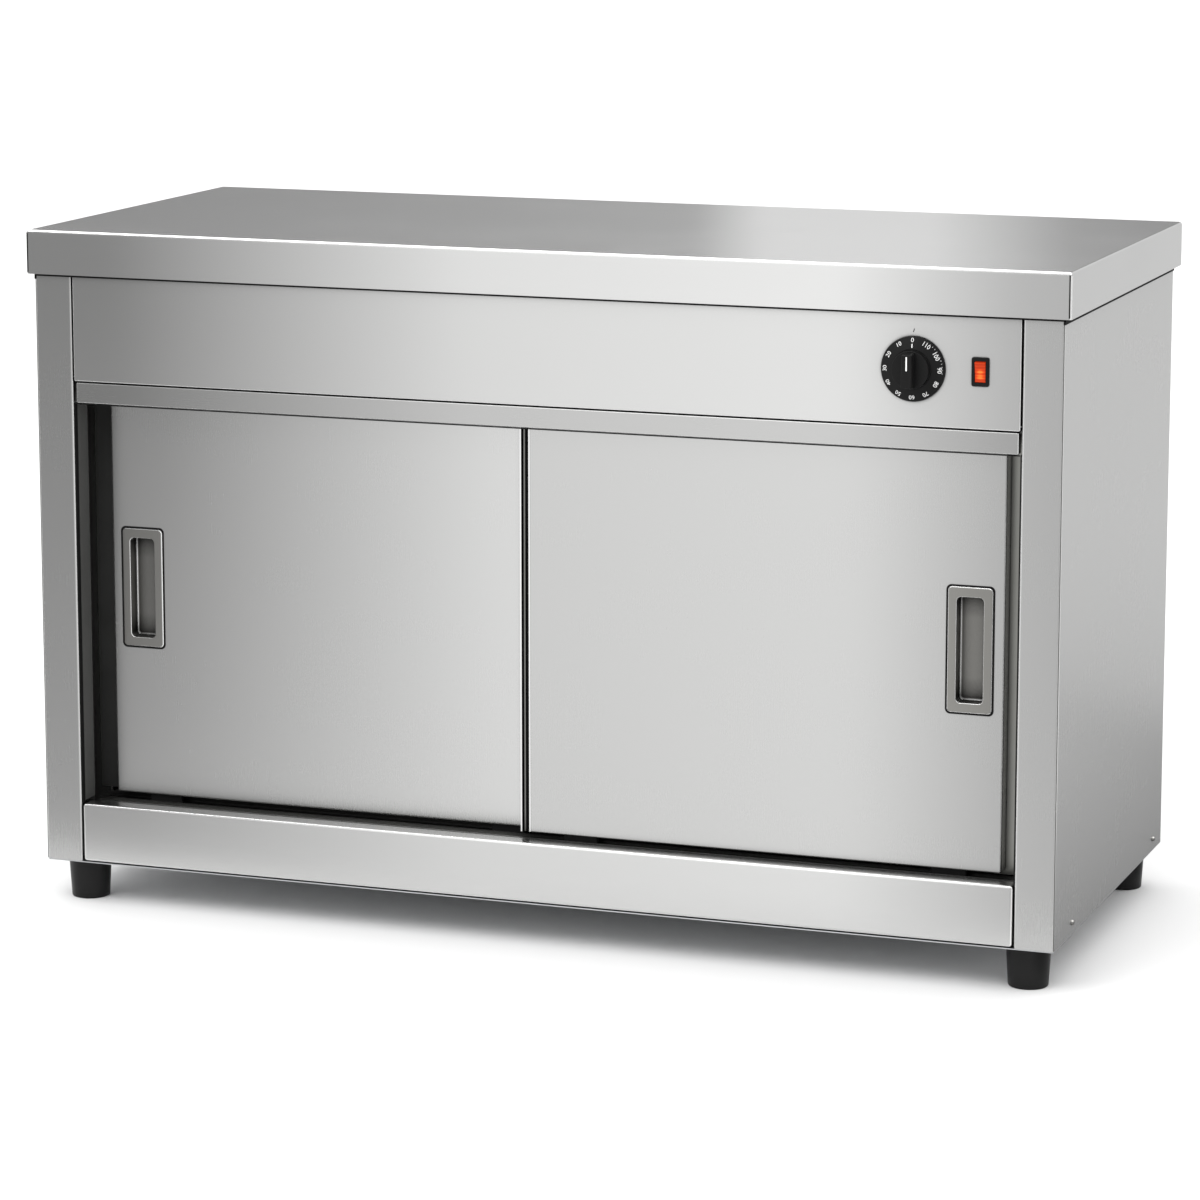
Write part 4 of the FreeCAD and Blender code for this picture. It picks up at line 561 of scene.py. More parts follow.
# %% Dress the folded and turned parts
FOLDED = [
    "worktop", "worktop_channels", "fascia_panel", "top_track_rear", "bottom_rail",
    "lower_track", "base_pan", "casing_left", "casing_right", "back_panel", "liner_left", "liner_right",
    "ceiling_liner", "deck", "mid_shelf", "shelf_supports", "jamb_strip", "heat_shield", "heating_element",
    "element_supports", "element_bushes", "thermostat_body", "thermostat_capillary", "bulb_clips",
    "switch_housing", "terminal_block", "cable_gland", "gland_nut", "wiring_looms", "feet", "foot_bolts",
    "thermostat_spindle", "door_right_strip",
]
for side in ("left", "right"):
    FOLDED += ["door_%s_%s" % (side, part) for part in ("skin", "hangers", "guides")]
    FOLDED += ["roller_%s_%d" % (side, number) for number in (1, 2)]
FOLDED.append("top_track_front")
for node in FOLDED:
    dressed(node)
print("welded and shaded:", len(FOLDED))

# %% Give the flat nodes their materials
FLAT = ["liner_back", "jamb_seal", "insulation_sides", "insulation_back", "insulation_top",
        "door_left_inner", "door_right_inner", "door_left_core", "door_right_core", "door_right_seal"]
for node in FLAT:
    mesh = nodes[node].data
    if not mesh.materials:
        mesh.materials.append(None)
    for index in range(len(mesh.materials)):
        mesh.materials[index] = finish_of(node)
print("flat nodes kept:", len(FLAT))

# %% [markdown]
# ## The flush pulls
# Each door has a pull: a raised plate with a deep cup pressed into it. The pressing leaves a small round
# edge at the mouth of the cup, and that edge is the bright line that draws the cup, so it gets a bevel of
# its own and a painted highlight. A thin black ring all round the plate is painted shade: it stands for
# the shadow line that parts the plate from the door.

# %% Helper that rounds chosen edges
FLAT_ANGLE, SHARP_ANGLE = math.radians(1), math.radians(40)
ROUND_SEGMENTS, ROUND_PROFILE = 3, 0.5


def round_edges(mesh, wanted, radius):
    """Rounds the sharp edges whose ends both pass a test, and returns how many there were."""
    work = opened(mesh)
    bmesh.ops.dissolve_limit(work, angle_limit=FLAT_ANGLE, verts=work.verts, edges=work.edges)
    chosen = [edge for edge in work.edges if edge.calc_face_angle(0) > SHARP_ANGLE
              and all(wanted(vertex.co) for vertex in edge.verts)]
    bmesh.ops.bevel(work, geom=chosen, offset=radius, segments=ROUND_SEGMENTS, affect="EDGES",
                    profile=ROUND_PROFILE)
    put_back(work, mesh)
    return len(chosen)


print("edges sharper than", round(math.degrees(SHARP_ANGLE)), "degrees can be rounded")

# %% Painted shade ring helper
SHADE_RING_OUT, SHADE_RING_THICK, SHADE_RING_CORNER = 0.0019, 0.0006, 0.0056
SHADE_RING_WIDE, SHADE_RING_LEAST_CORNER, CORNER_STEPS = 0.003, 0.001, 6
SHADE_RING_SUNK = 0.0003


def rounded_rectangle(half_width, half_height, corner):
    """The (x, z) points of a rectangle with round corners, once round."""
    points = []
    for turn, (u, v) in enumerate(((1, 1), (-1, 1), (-1, -1), (1, -1))):
        for step in range(CORNER_STEPS + 1):
            angle = math.radians(90 * turn + 90 * step / CORNER_STEPS)
            points.append((u * (half_width - corner) + corner * math.cos(angle),
                           v * (half_height - corner) + corner * math.sin(angle)))
    return points


def shade_ring(centre, half_width, half_height, back, front):
    """A closed flat ring round a plate, black as painted shade."""
    work = bmesh.new()
    loops = []
    for inset, reach in ((SHADE_RING_WIDE, back), (SHADE_RING_WIDE, front), (0.0, front), (0.0, back)):
        outline = rounded_rectangle(half_width + SHADE_RING_OUT - inset, half_height + SHADE_RING_OUT - inset,
                                    max(SHADE_RING_LEAST_CORNER, SHADE_RING_CORNER - inset))
        loops.append([work.verts.new((centre.x + x, reach, centre.z + z)) for x, z in outline])
    for first, second in zip(loops, loops[1:] + loops[:1]):
        for index in range(len(first)):
            following = (index + 1) % len(first)
            work.faces.new([first[index], first[following], second[following], second[index]])
    bmesh.ops.recalc_face_normals(work, faces=work.faces)
    return put_back(work, bpy.data.meshes.new("shade_ring_shape"))


print("gasket shows", SHADE_RING_OUT * 1000, "mm round the plate")

# %% Pulls with a round cup mouth
CUP_HALF_WIDTH, CUP_HALF_HEIGHT = 0.0152, 0.0582
MOUTH_RADIUS, ON_FACE = 0.0011, 0.0001


def flush_pull(side):
    """One door's pull and the painted shade ring round it; returns the number of edges at the cup's mouth.
    """
    node = "door_%s_handle" % side
    low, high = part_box(node)
    middle, half = (low + high) / 2, (high - low) / 2

    def on_mouth(place):
        """Whether a point lies on the face of the plate, at the cup."""
        return (place.y < low.y + ON_FACE and abs(place.x - middle.x) < CUP_HALF_WIDTH
                and abs(place.z - middle.z) < CUP_HALF_HEIGHT)

    plate = welded(node)
    count = round_edges(plate, on_mouth, MOUTH_RADIUS)
    shade_folds(plate)
    finished(node + "_piece", plate, finish_of(node), owner[node], [node])
    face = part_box("door_%s_skin" % side)[0].y
    ring = shade_ring(middle, half.x, half.z, face + SHADE_RING_SUNK, face - SHADE_RING_THICK)
    shade_folds(ring)
    finished(node + "_gasket", ring, finish["seal_rubber"], owner[node])
    return count


for side in ("left", "right"):
    print(side, "pull, mouth edges:", flush_pull(side))

# %% [markdown]
# ## Painted shade under the worktop and the rail
# A thin black line shows where the worktop sits on the body, and another along the lower edge of the rail.
# Both are painted shade: thin black bars where the shade under the worktop's edge and under the rail
# falls. Each is a long thin bar, so one helper makes a closed bar between two corners, and the lines of
# the next steps use it too. A line runs a little way into the sheet that carries it, so no gap can show.

# %% Bar helpers
INTO_SHEET, INTO_FACE = 0.001, 0.0002


def bar_between(work, low, high):
    """Adds a closed box between two corners to a bmesh."""
    made = bmesh.ops.create_cube(work, size=1)["verts"]
    bmesh.ops.scale(work, vec=Vector(high) - Vector(low), verts=made)
    bmesh.ops.translate(work, vec=(Vector(low) + Vector(high)) / 2, verts=made)


def bar_piece(name, bars, material, body):
    """A finished piece of one or more bars, each a pair of corners."""
    work = bmesh.new()
    for low, high in bars:
        bar_between(work, low, high)
    return finished(name, put_back(work, bpy.data.meshes.new(name + "_shape")), material, body)


def shade_and_joint_line(name, bars):
    """Bars of black rubber on the cabinet: painted shade lines, and the dark joints at the worktop's
    corners.
    """
    return bar_piece(name, bars, finish["seal_rubber"], "cabinet")


top_low, top_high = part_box("worktop")
body_low, body_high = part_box("casing_left")[0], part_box("casing_right")[1]
body_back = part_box("back_panel")[1].y
rail_low, rail_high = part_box("bottom_rail")
track_low, track_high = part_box("top_track_front")
print("body from x", round(body_low.x, 4), "to", round(body_high.x, 4))

# %% Painted shade lines under the worktop and the rail
TOP_SHADE_FRONT_HIGH, TOP_SHADE_SIDE_HIGH, TOP_SHADE_OUT = 0.0027, 0.0064, 0.0004
TRACK_SHADE_HIGH, TRACK_SHADE_DEEP, TRACK_SHADE_END = 0.0013, 0.0010, 0.0006
front_line, side_line = top_low.z - TOP_SHADE_FRONT_HIGH, top_low.z - TOP_SHADE_SIDE_HIGH
top_shade_left, top_shade_right, top_shade_front = body_low.x - TOP_SHADE_OUT, body_high.x + TOP_SHADE_OUT, body_low.y - TOP_SHADE_OUT
shade_and_joint_line("worktop_shade_line", [
    ((top_shade_left, top_shade_front, front_line), (top_shade_right, body_low.y + INTO_SHEET, top_low.z)),
    ((top_shade_left, top_shade_front, side_line), (body_low.x + INTO_SHEET, body_back, top_low.z)),
    ((body_high.x - INTO_SHEET, top_shade_front, side_line), (top_shade_right, body_back, top_low.z))])
track_shade_front = track_low.y + INTO_FACE
shade_and_joint_line("track_shade_line", [((rail_low.x + TRACK_SHADE_END, track_shade_front, track_low.z - TRACK_SHADE_HIGH),
                           (rail_high.x - TRACK_SHADE_END, track_shade_front + TRACK_SHADE_DEEP, track_low.z))])
print("seal down to z", round(side_line, 4), "brush at z", round(track_low.z - TRACK_SHADE_HIGH, 4))

# %% [markdown]
# ## Bright edges
# Where a sheet ends in a small lip or bead, the turned edge mirrors the ceiling and draws a line brighter
# than the panel. The right door has such a lip on each side of its closing strip, and the rail over the
# doors has a bead along its top. They are about a millimetre wide, too fine for the CAD sheets, so each
# is a bar that stands out by a few tenths, in a steel grey much lighter than the panels: a painted
# highlight.

# %% Lips of the right door and bead of the rail
LIP_WIDE, LIP_OUT, LIP_IN = 0.0016, 0.0003, 0.0012
BEAD_BOTTOM, BEAD_TOP, BEAD_OUT, BEAD_END = 0.0020, 0.0009, 0.0001, 0.0010
# The lighter grey of the lips and the bead is a painted highlight.
lip_highlight_steel = metal("lip_painted_highlight", grey(0.80), 0.30, UPRIGHT_GRAIN, closed=1.0, **BARE)
strip_low, strip_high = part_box("door_right_strip")
skin_low, skin_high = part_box("door_right_skin")
lip_left = skin_low.x + LIP_IN
bar_piece("door_right_lips", [
    ((strip_low.x, strip_low.y - LIP_OUT, strip_low.z),
     (strip_low.x + LIP_WIDE, strip_low.y + INTO_SHEET, strip_high.z)),
    ((lip_left, skin_low.y - LIP_OUT, skin_low.z + LIP_IN),
     (lip_left + LIP_WIDE, skin_low.y + INTO_SHEET, skin_high.z - LIP_IN)),
], lip_highlight_steel, "door_right")
bar_piece("track_bead", [
    ((track_low.x + BEAD_END, track_low.y - BEAD_OUT, track_high.z - BEAD_BOTTOM),
     (track_high.x - BEAD_END, track_low.y + INTO_SHEET, track_high.z - BEAD_TOP)),
], lip_highlight_steel, "cabinet")
print("lips at x", round(strip_low.x, 4), "and", round(lip_left, 4), "bead at z", round(track_high.z, 4))

# %% [markdown]
# ## Closed corners of the worktop
# The edges of the worktop are folded down on all sides and meet at its corners. The joint is closed and
# filled, and the photograph shows it as a hairline near each end of the front edge. A bar of dark rubber
# that stands out by a fifth of a millimetre draws it from any angle, where a groove would need a finer
# mesh all round.

# %% Corner lines of the worktop
CORNER_IN, CORNER_WIDE, CORNER_OUT = 0.0016, 0.0011, 0.0002
corner_bars = []
for side in (-1, 1):
    outer = side * (top_high.x - CORNER_IN)
    across = sorted((outer, outer - side * CORNER_WIDE))
    corner_bars.append(((across[0], top_low.y - CORNER_OUT, top_low.z + CORNER_IN),
                        (across[1], top_low.y + INTO_SHEET, top_high.z - 2 * CORNER_IN)))
shade_and_joint_line("worktop_corner_lines", corner_bars)
print("corner lines:", len(corner_bars))

# %% [markdown]
# ## The posts
# The front edge of each casing is folded into a post. Its inner edge is a thin shadow line beside the
# doors, and its outer fold a thin grey one; both lines are painted shade, a black bar and a dark steel
# bar. Inside the left post a dark grey strip covers the reveal up to the door, painted shade for the
# shaded inner wall there, and on the right jamb a black bar is painted shade for the gap beside the
# closing door. All of them are bars set off from the casing's box by a few named distances.

# %% Lines along the posts
POST_WIDTH = 0.045
EDGE_WIDE, EDGE_FRONT, EDGE_DEEP = 0.0013, 0.0022, 0.0060
FOLD_SIZE, FOLD_LINE = 0.0014, 0.0010
FOLD_IN = FOLD_SIZE / 3
edge_front, fold_front = body_low.y + EDGE_FRONT, body_low.y + FOLD_IN
edge_bars, fold_bars = [], []
for side in (-1, 1):
    inner, outer = side * (body_high.x - POST_WIDTH), side * (body_high.x - FOLD_IN)
    across = sorted((inner, inner - side * EDGE_WIDE))
    edge_bars.append(((across[0], edge_front, rail_high.z),
                      (across[1], edge_front + EDGE_DEEP, track_low.z)))
    across = sorted((outer, outer - side * FOLD_LINE))
    fold_bars.append(((across[0], fold_front, body_low.z + FOLD_LINE),
                      (across[1], fold_front + FOLD_LINE, side_line)))
shade_and_joint_line("post_edge_lines", edge_bars)
# The dark grey bar on each outer fold is painted shade.
fold_shade_steel = metal("corner_line", grey(0.16), 0.45, UPRIGHT_GRAIN, closed=0.8, **BARE)
bar_piece("casing_corner_lines", fold_bars, fold_shade_steel, "cabinet")
print("lines along the posts:", len(edge_bars) + len(fold_bars))

# %% Reveal strip and jamb shade line, both painted shade
REVEAL_THICK, REVEAL_FRONT, REVEAL_BACK, REVEAL_END = 0.0004, 0.0060, 0.0150, 0.0020
JAMB_SHADE_IN, JAMB_SHADE_WIDE, JAMB_SHADE_OUT = 0.0040, 0.0042, 0.0006
post_inner = body_low.x + POST_WIDTH
door_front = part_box("door_left_skin")[0].y
# The dark grey strip is painted shade on the post's inner wall.
bar_piece("left_reveal_strip", [
    ((post_inner - INTO_FACE, body_low.y + REVEAL_FRONT, rail_high.z + REVEAL_END),
     (post_inner + REVEAL_THICK, door_front - REVEAL_BACK, track_low.z - REVEAL_END)),
], moulded("reveal_painted_shade", grey(0.075, 0.003), 0.5, sheen=0.3), "cabinet")
jamb_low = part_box("jamb_strip")[0]
jamb_shade_left = jamb_low.x + JAMB_SHADE_IN
# A black bar as painted shade in the gap beside the right door.
shade_and_joint_line("right_jamb_shade_line", [
    ((jamb_shade_left, jamb_low.y - JAMB_SHADE_OUT, jamb_low.z + JAMB_SHADE_IN),
     (jamb_shade_left + JAMB_SHADE_WIDE, jamb_low.y + INTO_FACE, track_low.z + JAMB_SHADE_IN))])
print("strip at x", round(post_inner, 4), "bumper at x", round(jamb_shade_left, 4))

# %% [markdown]
# ## The dial
# The dial is one black moulding: a wide skirt that carries the numbers, a round boss and a grip bar with
# a white line. A lathe profile gives the skirt and boss their small rounded edges, which are what shows
# on a black part. The profile is a list of (radius, distance in front of the fascia), turned about the
# spindle, and a second helper rounds its corners off.


# %% Lathe helper
def lathe(profile, centre, steps=96):
    """A closed mesh from (radius, reach) pairs turned about the -Y axis through a centre."""
    work = bmesh.new()
    rings = []
    for radius, reach in profile:
        if radius == 0:
            rings.append([work.verts.new((centre.x, centre.y - reach, centre.z))])
            continue
        turns = [2 * math.pi * step / steps for step in range(steps)]
        rings.append([work.verts.new((centre.x + radius * math.cos(turn), centre.y - reach,
                                      centre.z + radius * math.sin(turn))) for turn in turns])
    for inner, outer in zip(rings, rings[1:]):
        for step in range(steps):
            following = (step + 1) % steps
            corners = [inner[step % len(inner)], inner[following % len(inner)],
                       outer[following % len(outer)], outer[step % len(outer)]]
            work.faces.new(list(dict.fromkeys(corners)))
    bmesh.ops.recalc_face_normals(work, faces=work.faces)
    return put_back(work, bpy.data.meshes.new("turned_shape"))


print("lathe ready")

# %% Rounded profile helper and the dial's centre
ROUND_SHARE = 0.45


def rounded(corners, radius, steps=3):
    """A (radius, reach) profile with each inner corner rounded off."""
    points = [corners[0]]
    for before, corner, after in zip(corners, corners[1:], corners[2:]):
        here = Vector(corner)
        back, ahead = Vector(before) - here, Vector(after) - here
        start = here + back.normalized() * min(radius, back.length * ROUND_SHARE)
        end = here + ahead.normalized() * min(radius, ahead.length * ROUND_SHARE)
        for step in range(steps + 1):
            share = step / steps
            points.append(tuple(start.lerp(here, share).lerp(here.lerp(end, share), share)))
    return points + [corners[-1]]


low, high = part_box("thermostat_knob")
fascia_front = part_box("fascia_panel")[0].y
dial_centre = Vector(((low.x + high.x) / 2, fascia_front, (low.z + high.z) / 2))
dial_radius = (high.x - low.x) / 2
print("dial centre", tuple(round(v, 4) for v in dial_centre), "radius", round(dial_radius, 4))

# %% Skirt and boss
SKIRT_BACK, SKIRT_EDGE, SKIRT_RISE, SKIRT_ROUND = 0.0010, 0.0035, 0.0075, 0.0009
BOSS_RADIUS, BOSS_TOP, BOSS_FOOT = 0.0205, 0.0150, 0.0004
SLOPE_TOP_RADIUS = BOSS_RADIUS + 0.0012
skirt_profile = rounded([(0, SKIRT_BACK), (dial_radius, SKIRT_BACK), (dial_radius, SKIRT_EDGE),
                         (SLOPE_TOP_RADIUS, SKIRT_RISE), (BOSS_RADIUS, SKIRT_RISE - BOSS_FOOT),
                         (BOSS_RADIUS, BOSS_TOP), (0, BOSS_TOP)], SKIRT_ROUND)
dial_mesh = lathe(skirt_profile, dial_centre)
print("skirt and boss faces:", len(dial_mesh.polygons))

# %% Grip bar
GRIP_TOP, GRIP_SUNK, GRIP_DRAFT = 0.0280, 0.001, 0.93
GRIP_HALF_WIDTH, GRIP_HALF_LENGTH = 0.0063, 0.0190
GRIP_OUTLINE = [(-0.92, 1.0), (0.92, 1.0), (1.0, 0.0), (1.0, -1.0), (-1.0, -1.0), (-1.0, 0.0)]
GRIP_ROUND, GRIP_SHARP = 0.0011, math.radians(30)
work = opened(dial_mesh)
rims = []
for reach, draft in ((BOSS_TOP - GRIP_SUNK, 1.0), (GRIP_TOP, GRIP_DRAFT)):
    rims.append([work.verts.new((dial_centre.x + u * GRIP_HALF_WIDTH * draft, dial_centre.y - reach,
                                 dial_centre.z + v * GRIP_HALF_LENGTH * draft)) for u, v in GRIP_OUTLINE])
grip_faces = [work.faces.new(rim) for rim in rims]
for index in range(len(GRIP_OUTLINE)):
    following = (index + 1) % len(GRIP_OUTLINE)
    grip_faces.append(work.faces.new([rims[0][index], rims[0][following],
                                      rims[1][following], rims[1][index]]))
bmesh.ops.recalc_face_normals(work, faces=work.faces)
grip_edges = dict.fromkeys(edge for face in grip_faces for edge in face.edges)
sharp = [edge for edge in grip_edges if edge.calc_face_angle(0) > GRIP_SHARP]
bmesh.ops.bevel(work, geom=sharp, offset=GRIP_ROUND, segments=3, affect="EDGES", profile=0.6)
put_back(work, dial_mesh)
shade_folds(dial_mesh)
finished("dial_moulding", dial_mesh, finish["knob_black"], "dial", ["thermostat_knob"])
print("dial faces:", len(dial_mesh.polygons))

# %% [markdown]
# ## Printed numbers and marks
# White print on the skirt gives the temperature. An image could carry it, but it would blur in a close
# view. So the numbers are text objects, made mesh and laid on the slope of the skirt. The marks between
# them repeat round a circle, which is a job for Geometry Nodes: a point for each mark, a thin bar on each
# point, turned with the circle, then realised and given its material, because the exported model keeps no
# instances.


# %% Print material
def printed(name, colour, rough):
    """A thin printed or filled colour with the small unevenness of ink."""
    return moulded(name, colour, rough, grain=3000.0, patch=160.0, height=0.000004, change=0.05)


white_print = printed("white_print", grey(0.86, 0.01), 0.45)
dark_print = printed("dark_print", grey(0.05, 0), 0.40)
print("print materials:", white_print.name, dark_print.name)

# %% Flat print, and how it lies on the skirt
PRINT_LIFT = 0.00006
TURN_UPRIGHT = Matrix.Rotation(math.radians(90), 4, "X")


def skirt_reach(radius):
    """How far the skirt's face stands in front of the fascia at a radius."""
    share = (dial_radius - radius) / (dial_radius - SLOPE_TOP_RADIUS)
    return SKIRT_EDGE + share * (SKIRT_RISE - SKIRT_EDGE)


def laid_on_skirt(mesh, radius, turn):
    """Moves a flat mesh from the XY plane to the skirt, its top pointing outward, at a turn from the top."""
    slope = math.atan2(SKIRT_RISE - SKIRT_EDGE, dial_radius - SLOPE_TOP_RADIUS)
    lean = Matrix.Rotation(-slope, 4, "X")
    spin = Matrix.Rotation(turn, 4, "Y")
    lift = Matrix.Translation((0, -skirt_reach(radius) - PRINT_LIFT, radius))
    mesh.transform(Matrix.Translation(dial_centre) @ spin @ lift @ lean @ TURN_UPRIGHT)


def plate(size):
    """A small flat bar lying on the XY plane, centred on the origin."""
    work = bmesh.new()
    bmesh.ops.create_cube(work, size=1)
    bmesh.ops.scale(work, vec=size, verts=work.verts)
    return put_back(work, bpy.data.meshes.new("plate_shape"))


print("the skirt's face rises by", SKIRT_RISE - SKIRT_EDGE, "m")

# %% Numbers
NUMBER_RADIUS, NUMBER_HEIGHT, ZERO_OUT = 0.0299, 0.0049, 0.0012
NUMBER_COUNT, DEGREES_EACH = 12, 10
SIZE_PER_HEIGHT, THINNED, LETTER_THICK = 1.35, -0.004, 0.00004


def lettering(words, height):
    """Text as a flat mesh with a little thickness, centred on the origin."""
    curve = bpy.data.curves.new("lettering", "FONT")
    curve.body = words
    curve.size = height * SIZE_PER_HEIGHT
    curve.align_x = "CENTER"
    curve.align_y = "CENTER"
    curve.resolution_u = 3
    curve.offset = height * THINNED
    curve.extrude = LETTER_THICK
    holder = bpy.data.objects.new("lettering", curve)
    mesh = bpy.data.meshes.new_from_object(holder)
    bpy.data.objects.remove(holder)
    return mesh


work = bmesh.new()
for step in range(NUMBER_COUNT):
    word = lettering(str(step * DEGREES_EACH), NUMBER_HEIGHT)
    laid_on_skirt(word, NUMBER_RADIUS + (0 if step else ZERO_OUT), -2 * math.pi * step / NUMBER_COUNT)
    work.from_mesh(word)
number_mesh = put_back(work, bpy.data.meshes.new("dial_numbers_shape"))
finished("dial_numbers", number_mesh, white_print, "dial")
print("numbers on the skirt:", NUMBER_COUNT)


# %% Geometry Nodes helpers
def geometry_tree(name, inputs):
    """An empty Geometry Nodes tree with a geometry input and output and named inputs."""
    tree = bpy.data.node_groups.new(name, "GeometryNodeTree")
    tree.interface.new_socket("Geometry", in_out="INPUT", socket_type="NodeSocketGeometry")
    for title, kind in inputs:
        tree.interface.new_socket(title, in_out="INPUT", socket_type="NodeSocket" + kind)
    tree.interface.new_socket("Geometry", in_out="OUTPUT", socket_type="NodeSocketGeometry")
    return tree, tree.nodes.new("NodeGroupInput").outputs, tree.nodes.new("NodeGroupOutput")


def box_of(tree, x, y, z):
    """A box with its three sizes given by sockets."""
    size = add(tree, "ShaderNodeCombineXYZ", None, {0: x, 1: y, 2: z}).outputs[0]
    return add(tree, "GeometryNodeMeshCube", None, {"Size": size}).outputs[0]


def copied_out(tree, sink, points, copy, axis, direction, material):
    """Ends a tree: a copy on every point, with an axis along a direction, made real and dyed."""
    turn = add(tree, "FunctionNodeAlignRotationToVector", {"axis": axis}, {"Vector": direction}).outputs[0]
    copies = add(tree, "GeometryNodeInstanceOnPoints", None,
                 {"Points": points, "Instance": copy, "Rotation": turn}).outputs[0]
    real = add(tree, "GeometryNodeRealizeInstances", None, {0: copies}).outputs[0]
    dyed = add(tree, "GeometryNodeSetMaterial", None, {"Geometry": real, "Material": material}).outputs[0]
    tree.links.new(dyed, sink.inputs[0])


def grown_by(tree, values, points=()):
    """Runs a Geometry Nodes tree on some points and returns the result as a plain mesh."""
    carrier_mesh = bpy.data.meshes.new("carrier")
    carrier_mesh.from_pydata([tuple(place) for place, outward in points], [], [])
    facing = carrier_mesh.attributes.new("facing", "FLOAT_VECTOR", "POINT")
    for item, (place, outward) in zip(facing.data, points):
        item.vector = outward
    carrier = bpy.data.objects.new("carrier", carrier_mesh)
    bpy.context.scene.collection.objects.link(carrier)
    modifier = carrier.modifiers.new("grow", "NODES")
    modifier.node_group = tree
    for item in tree.interface.items_tree:
        if item.item_type == "SOCKET" and item.in_out == "INPUT" and item.name in values:
            modifier[item.identifier] = values[item.name]
    bpy.context.view_layer.update()
    grown = bpy.data.meshes.new_from_object(carrier.evaluated_get(bpy.context.evaluated_depsgraph_get()))
    carrier.modifiers.remove(modifier)
    bpy.data.objects.remove(carrier)
    return grown


print("geometry helpers ready")

# %% Marks round the skirt by Geometry Nodes
MARK_RADIUS, MARK_LIFT = 0.0328, 0.00008
mark_tree, source, sink = geometry_tree(
    "marks on a circle",
    [("Count", "Int"), ("Radius", "Float"), ("Mark length", "Float"), ("Mark width", "Float"),
     ("Mark depth", "Float"), ("Material", "Material")])
ring = add(mark_tree, "GeometryNodeMeshCircle", None,
           {"Vertices": source["Count"], "Radius": source["Radius"]}).outputs[0]
mark = box_of(mark_tree, source["Mark length"], source["Mark width"], source["Mark depth"])
outward = add(mark_tree, "GeometryNodeInputPosition").outputs[0]
copied_out(mark_tree, sink, ring, mark, "X", outward, source["Material"])
mark_mesh = grown_by(mark_tree, {"Count": 60, "Radius": MARK_RADIUS, "Mark length": 0.0011,
                                 "Mark width": 0.00045, "Mark depth": 0.00008, "Material": white_print})
in_front = Vector((0, skirt_reach(MARK_RADIUS) + MARK_LIFT, 0))
mark_mesh.transform(Matrix.Translation(dial_centre - in_front) @ TURN_UPRIGHT)
print("marks:", len(mark_mesh.polygons) // 6)

# %% Keep the marks of the upper range
RANGE_FROM, RANGE_TO = math.radians(22), math.radians(98)
work = opened(mark_mesh)
unwanted = []
for vertex in work.verts:
    turn = math.atan2(vertex.co.x - dial_centre.x, vertex.co.z - dial_centre.z)
    if not RANGE_FROM < turn < RANGE_TO:
        unwanted.append(vertex)
bmesh.ops.delete(work, geom=unwanted, context="VERTS")
put_back(work, mark_mesh)
finished("dial_marks", mark_mesh, white_print, "dial")
print("marks kept:", len(mark_mesh.polygons) // 6)

# %% Long mark at zero, line on the grip and mark on the fascia
ZERO_SIZE, ZERO_RADIUS = (0.0011, 0.0042, 0.00008), 0.0252
LINE_SIZE, LINE_UP, LINE_SUNK = (0.0015, 0.0150, 0.0001), 0.0085, 0.00004
INDEX_SIZE, INDEX_PLACE, INDEX_LEAN = (0.0010, 0.0040, 0.0001), (0.0002, -0.00005, 0.0410), math.radians(18)
zero = plate(ZERO_SIZE)
laid_on_skirt(zero, ZERO_RADIUS, 0)
finished("dial_zero_mark", zero, white_print, "dial")
pointer = plate(LINE_SIZE)
pointer.transform(Matrix.Translation(dial_centre + Vector((0, LINE_SUNK - GRIP_TOP, LINE_UP)))
                  @ TURN_UPRIGHT)
finished("dial_pointer", pointer, white_print, "dial")
index_mark = plate(INDEX_SIZE)
index_mark.transform(Matrix.Translation(dial_centre + Vector(INDEX_PLACE))
                     @ Matrix.Rotation(INDEX_LEAN, 4, "Y") @ TURN_UPRIGHT)
finished("dial_index_mark", index_mark, dark_print, "cabinet")
print("the mark on the fascia leans by", round(math.degrees(INDEX_LEAN)), "degrees")

# %% [markdown]
# ## The lit rocker
# The rocker is clear orange plastic with a small lamp behind it. It glows, most of all in two spots where
# the lamp shows through the ribs of the moulding. Real light behind tinted plastic is slow to render and
# noisy at this size, so the plastic is a plain dark red and the glow is an emission colour on it, which
# fades with the distance from each spot.

# %% Rocker shape
RIM_DEPTH, RIM_ROUND = 0.0045, 0.0007
rocker_mesh = welded("rocker")
rim_limit = min(vertex.co.y for vertex in rocker_mesh.vertices) + RIM_DEPTH
print("rocker rim edges:", round_edges(rocker_mesh, lambda place: place.y < rim_limit, RIM_ROUND))
shade_folds(rocker_mesh)

# %% Rocker glow
GLOW_BASE = 0.10
SPOTS = ((0.0004, 0.0042), (-0.0052, 0.0048))
SPOT_FLATNESS, SPOT_REACH = 0.62, 1.6
RIB_SCALE, RIB_WANDER, RIB_DARK, RIB_LIGHT = 95.0, 0.6, 0.75, 1.1
GLOW_DARK, GLOW_MIDDLE, GLOW_BRIGHT = (0.34, 0.016, 0.002, 1), (0.78, 0.062, 0.004, 1), (1.0, 0.33, 0.05, 1)
low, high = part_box("rocker")
rocker_middle = (low + high) / 2
glow, tree, shader = new_material("rocker_glow")
place = object_place(tree)
total = GLOW_BASE
for height, width in SPOTS:
    spot = add(tree, "ShaderNodeMapping", {"vector_type": "TEXTURE"},
               {"Vector": place, "Location": rocker_middle + Vector((0, 0, height)),
                "Scale": (width, 1.0, width * SPOT_FLATNESS)}).outputs[0]
    reach = add(tree, "ShaderNodeVectorMath", {"operation": "LENGTH"}, {0: spot}).outputs["Value"]
    total = calculated(tree, "ADD", total, remapped(tree, reach, 0.0, SPOT_REACH, 1.0, 0.0))
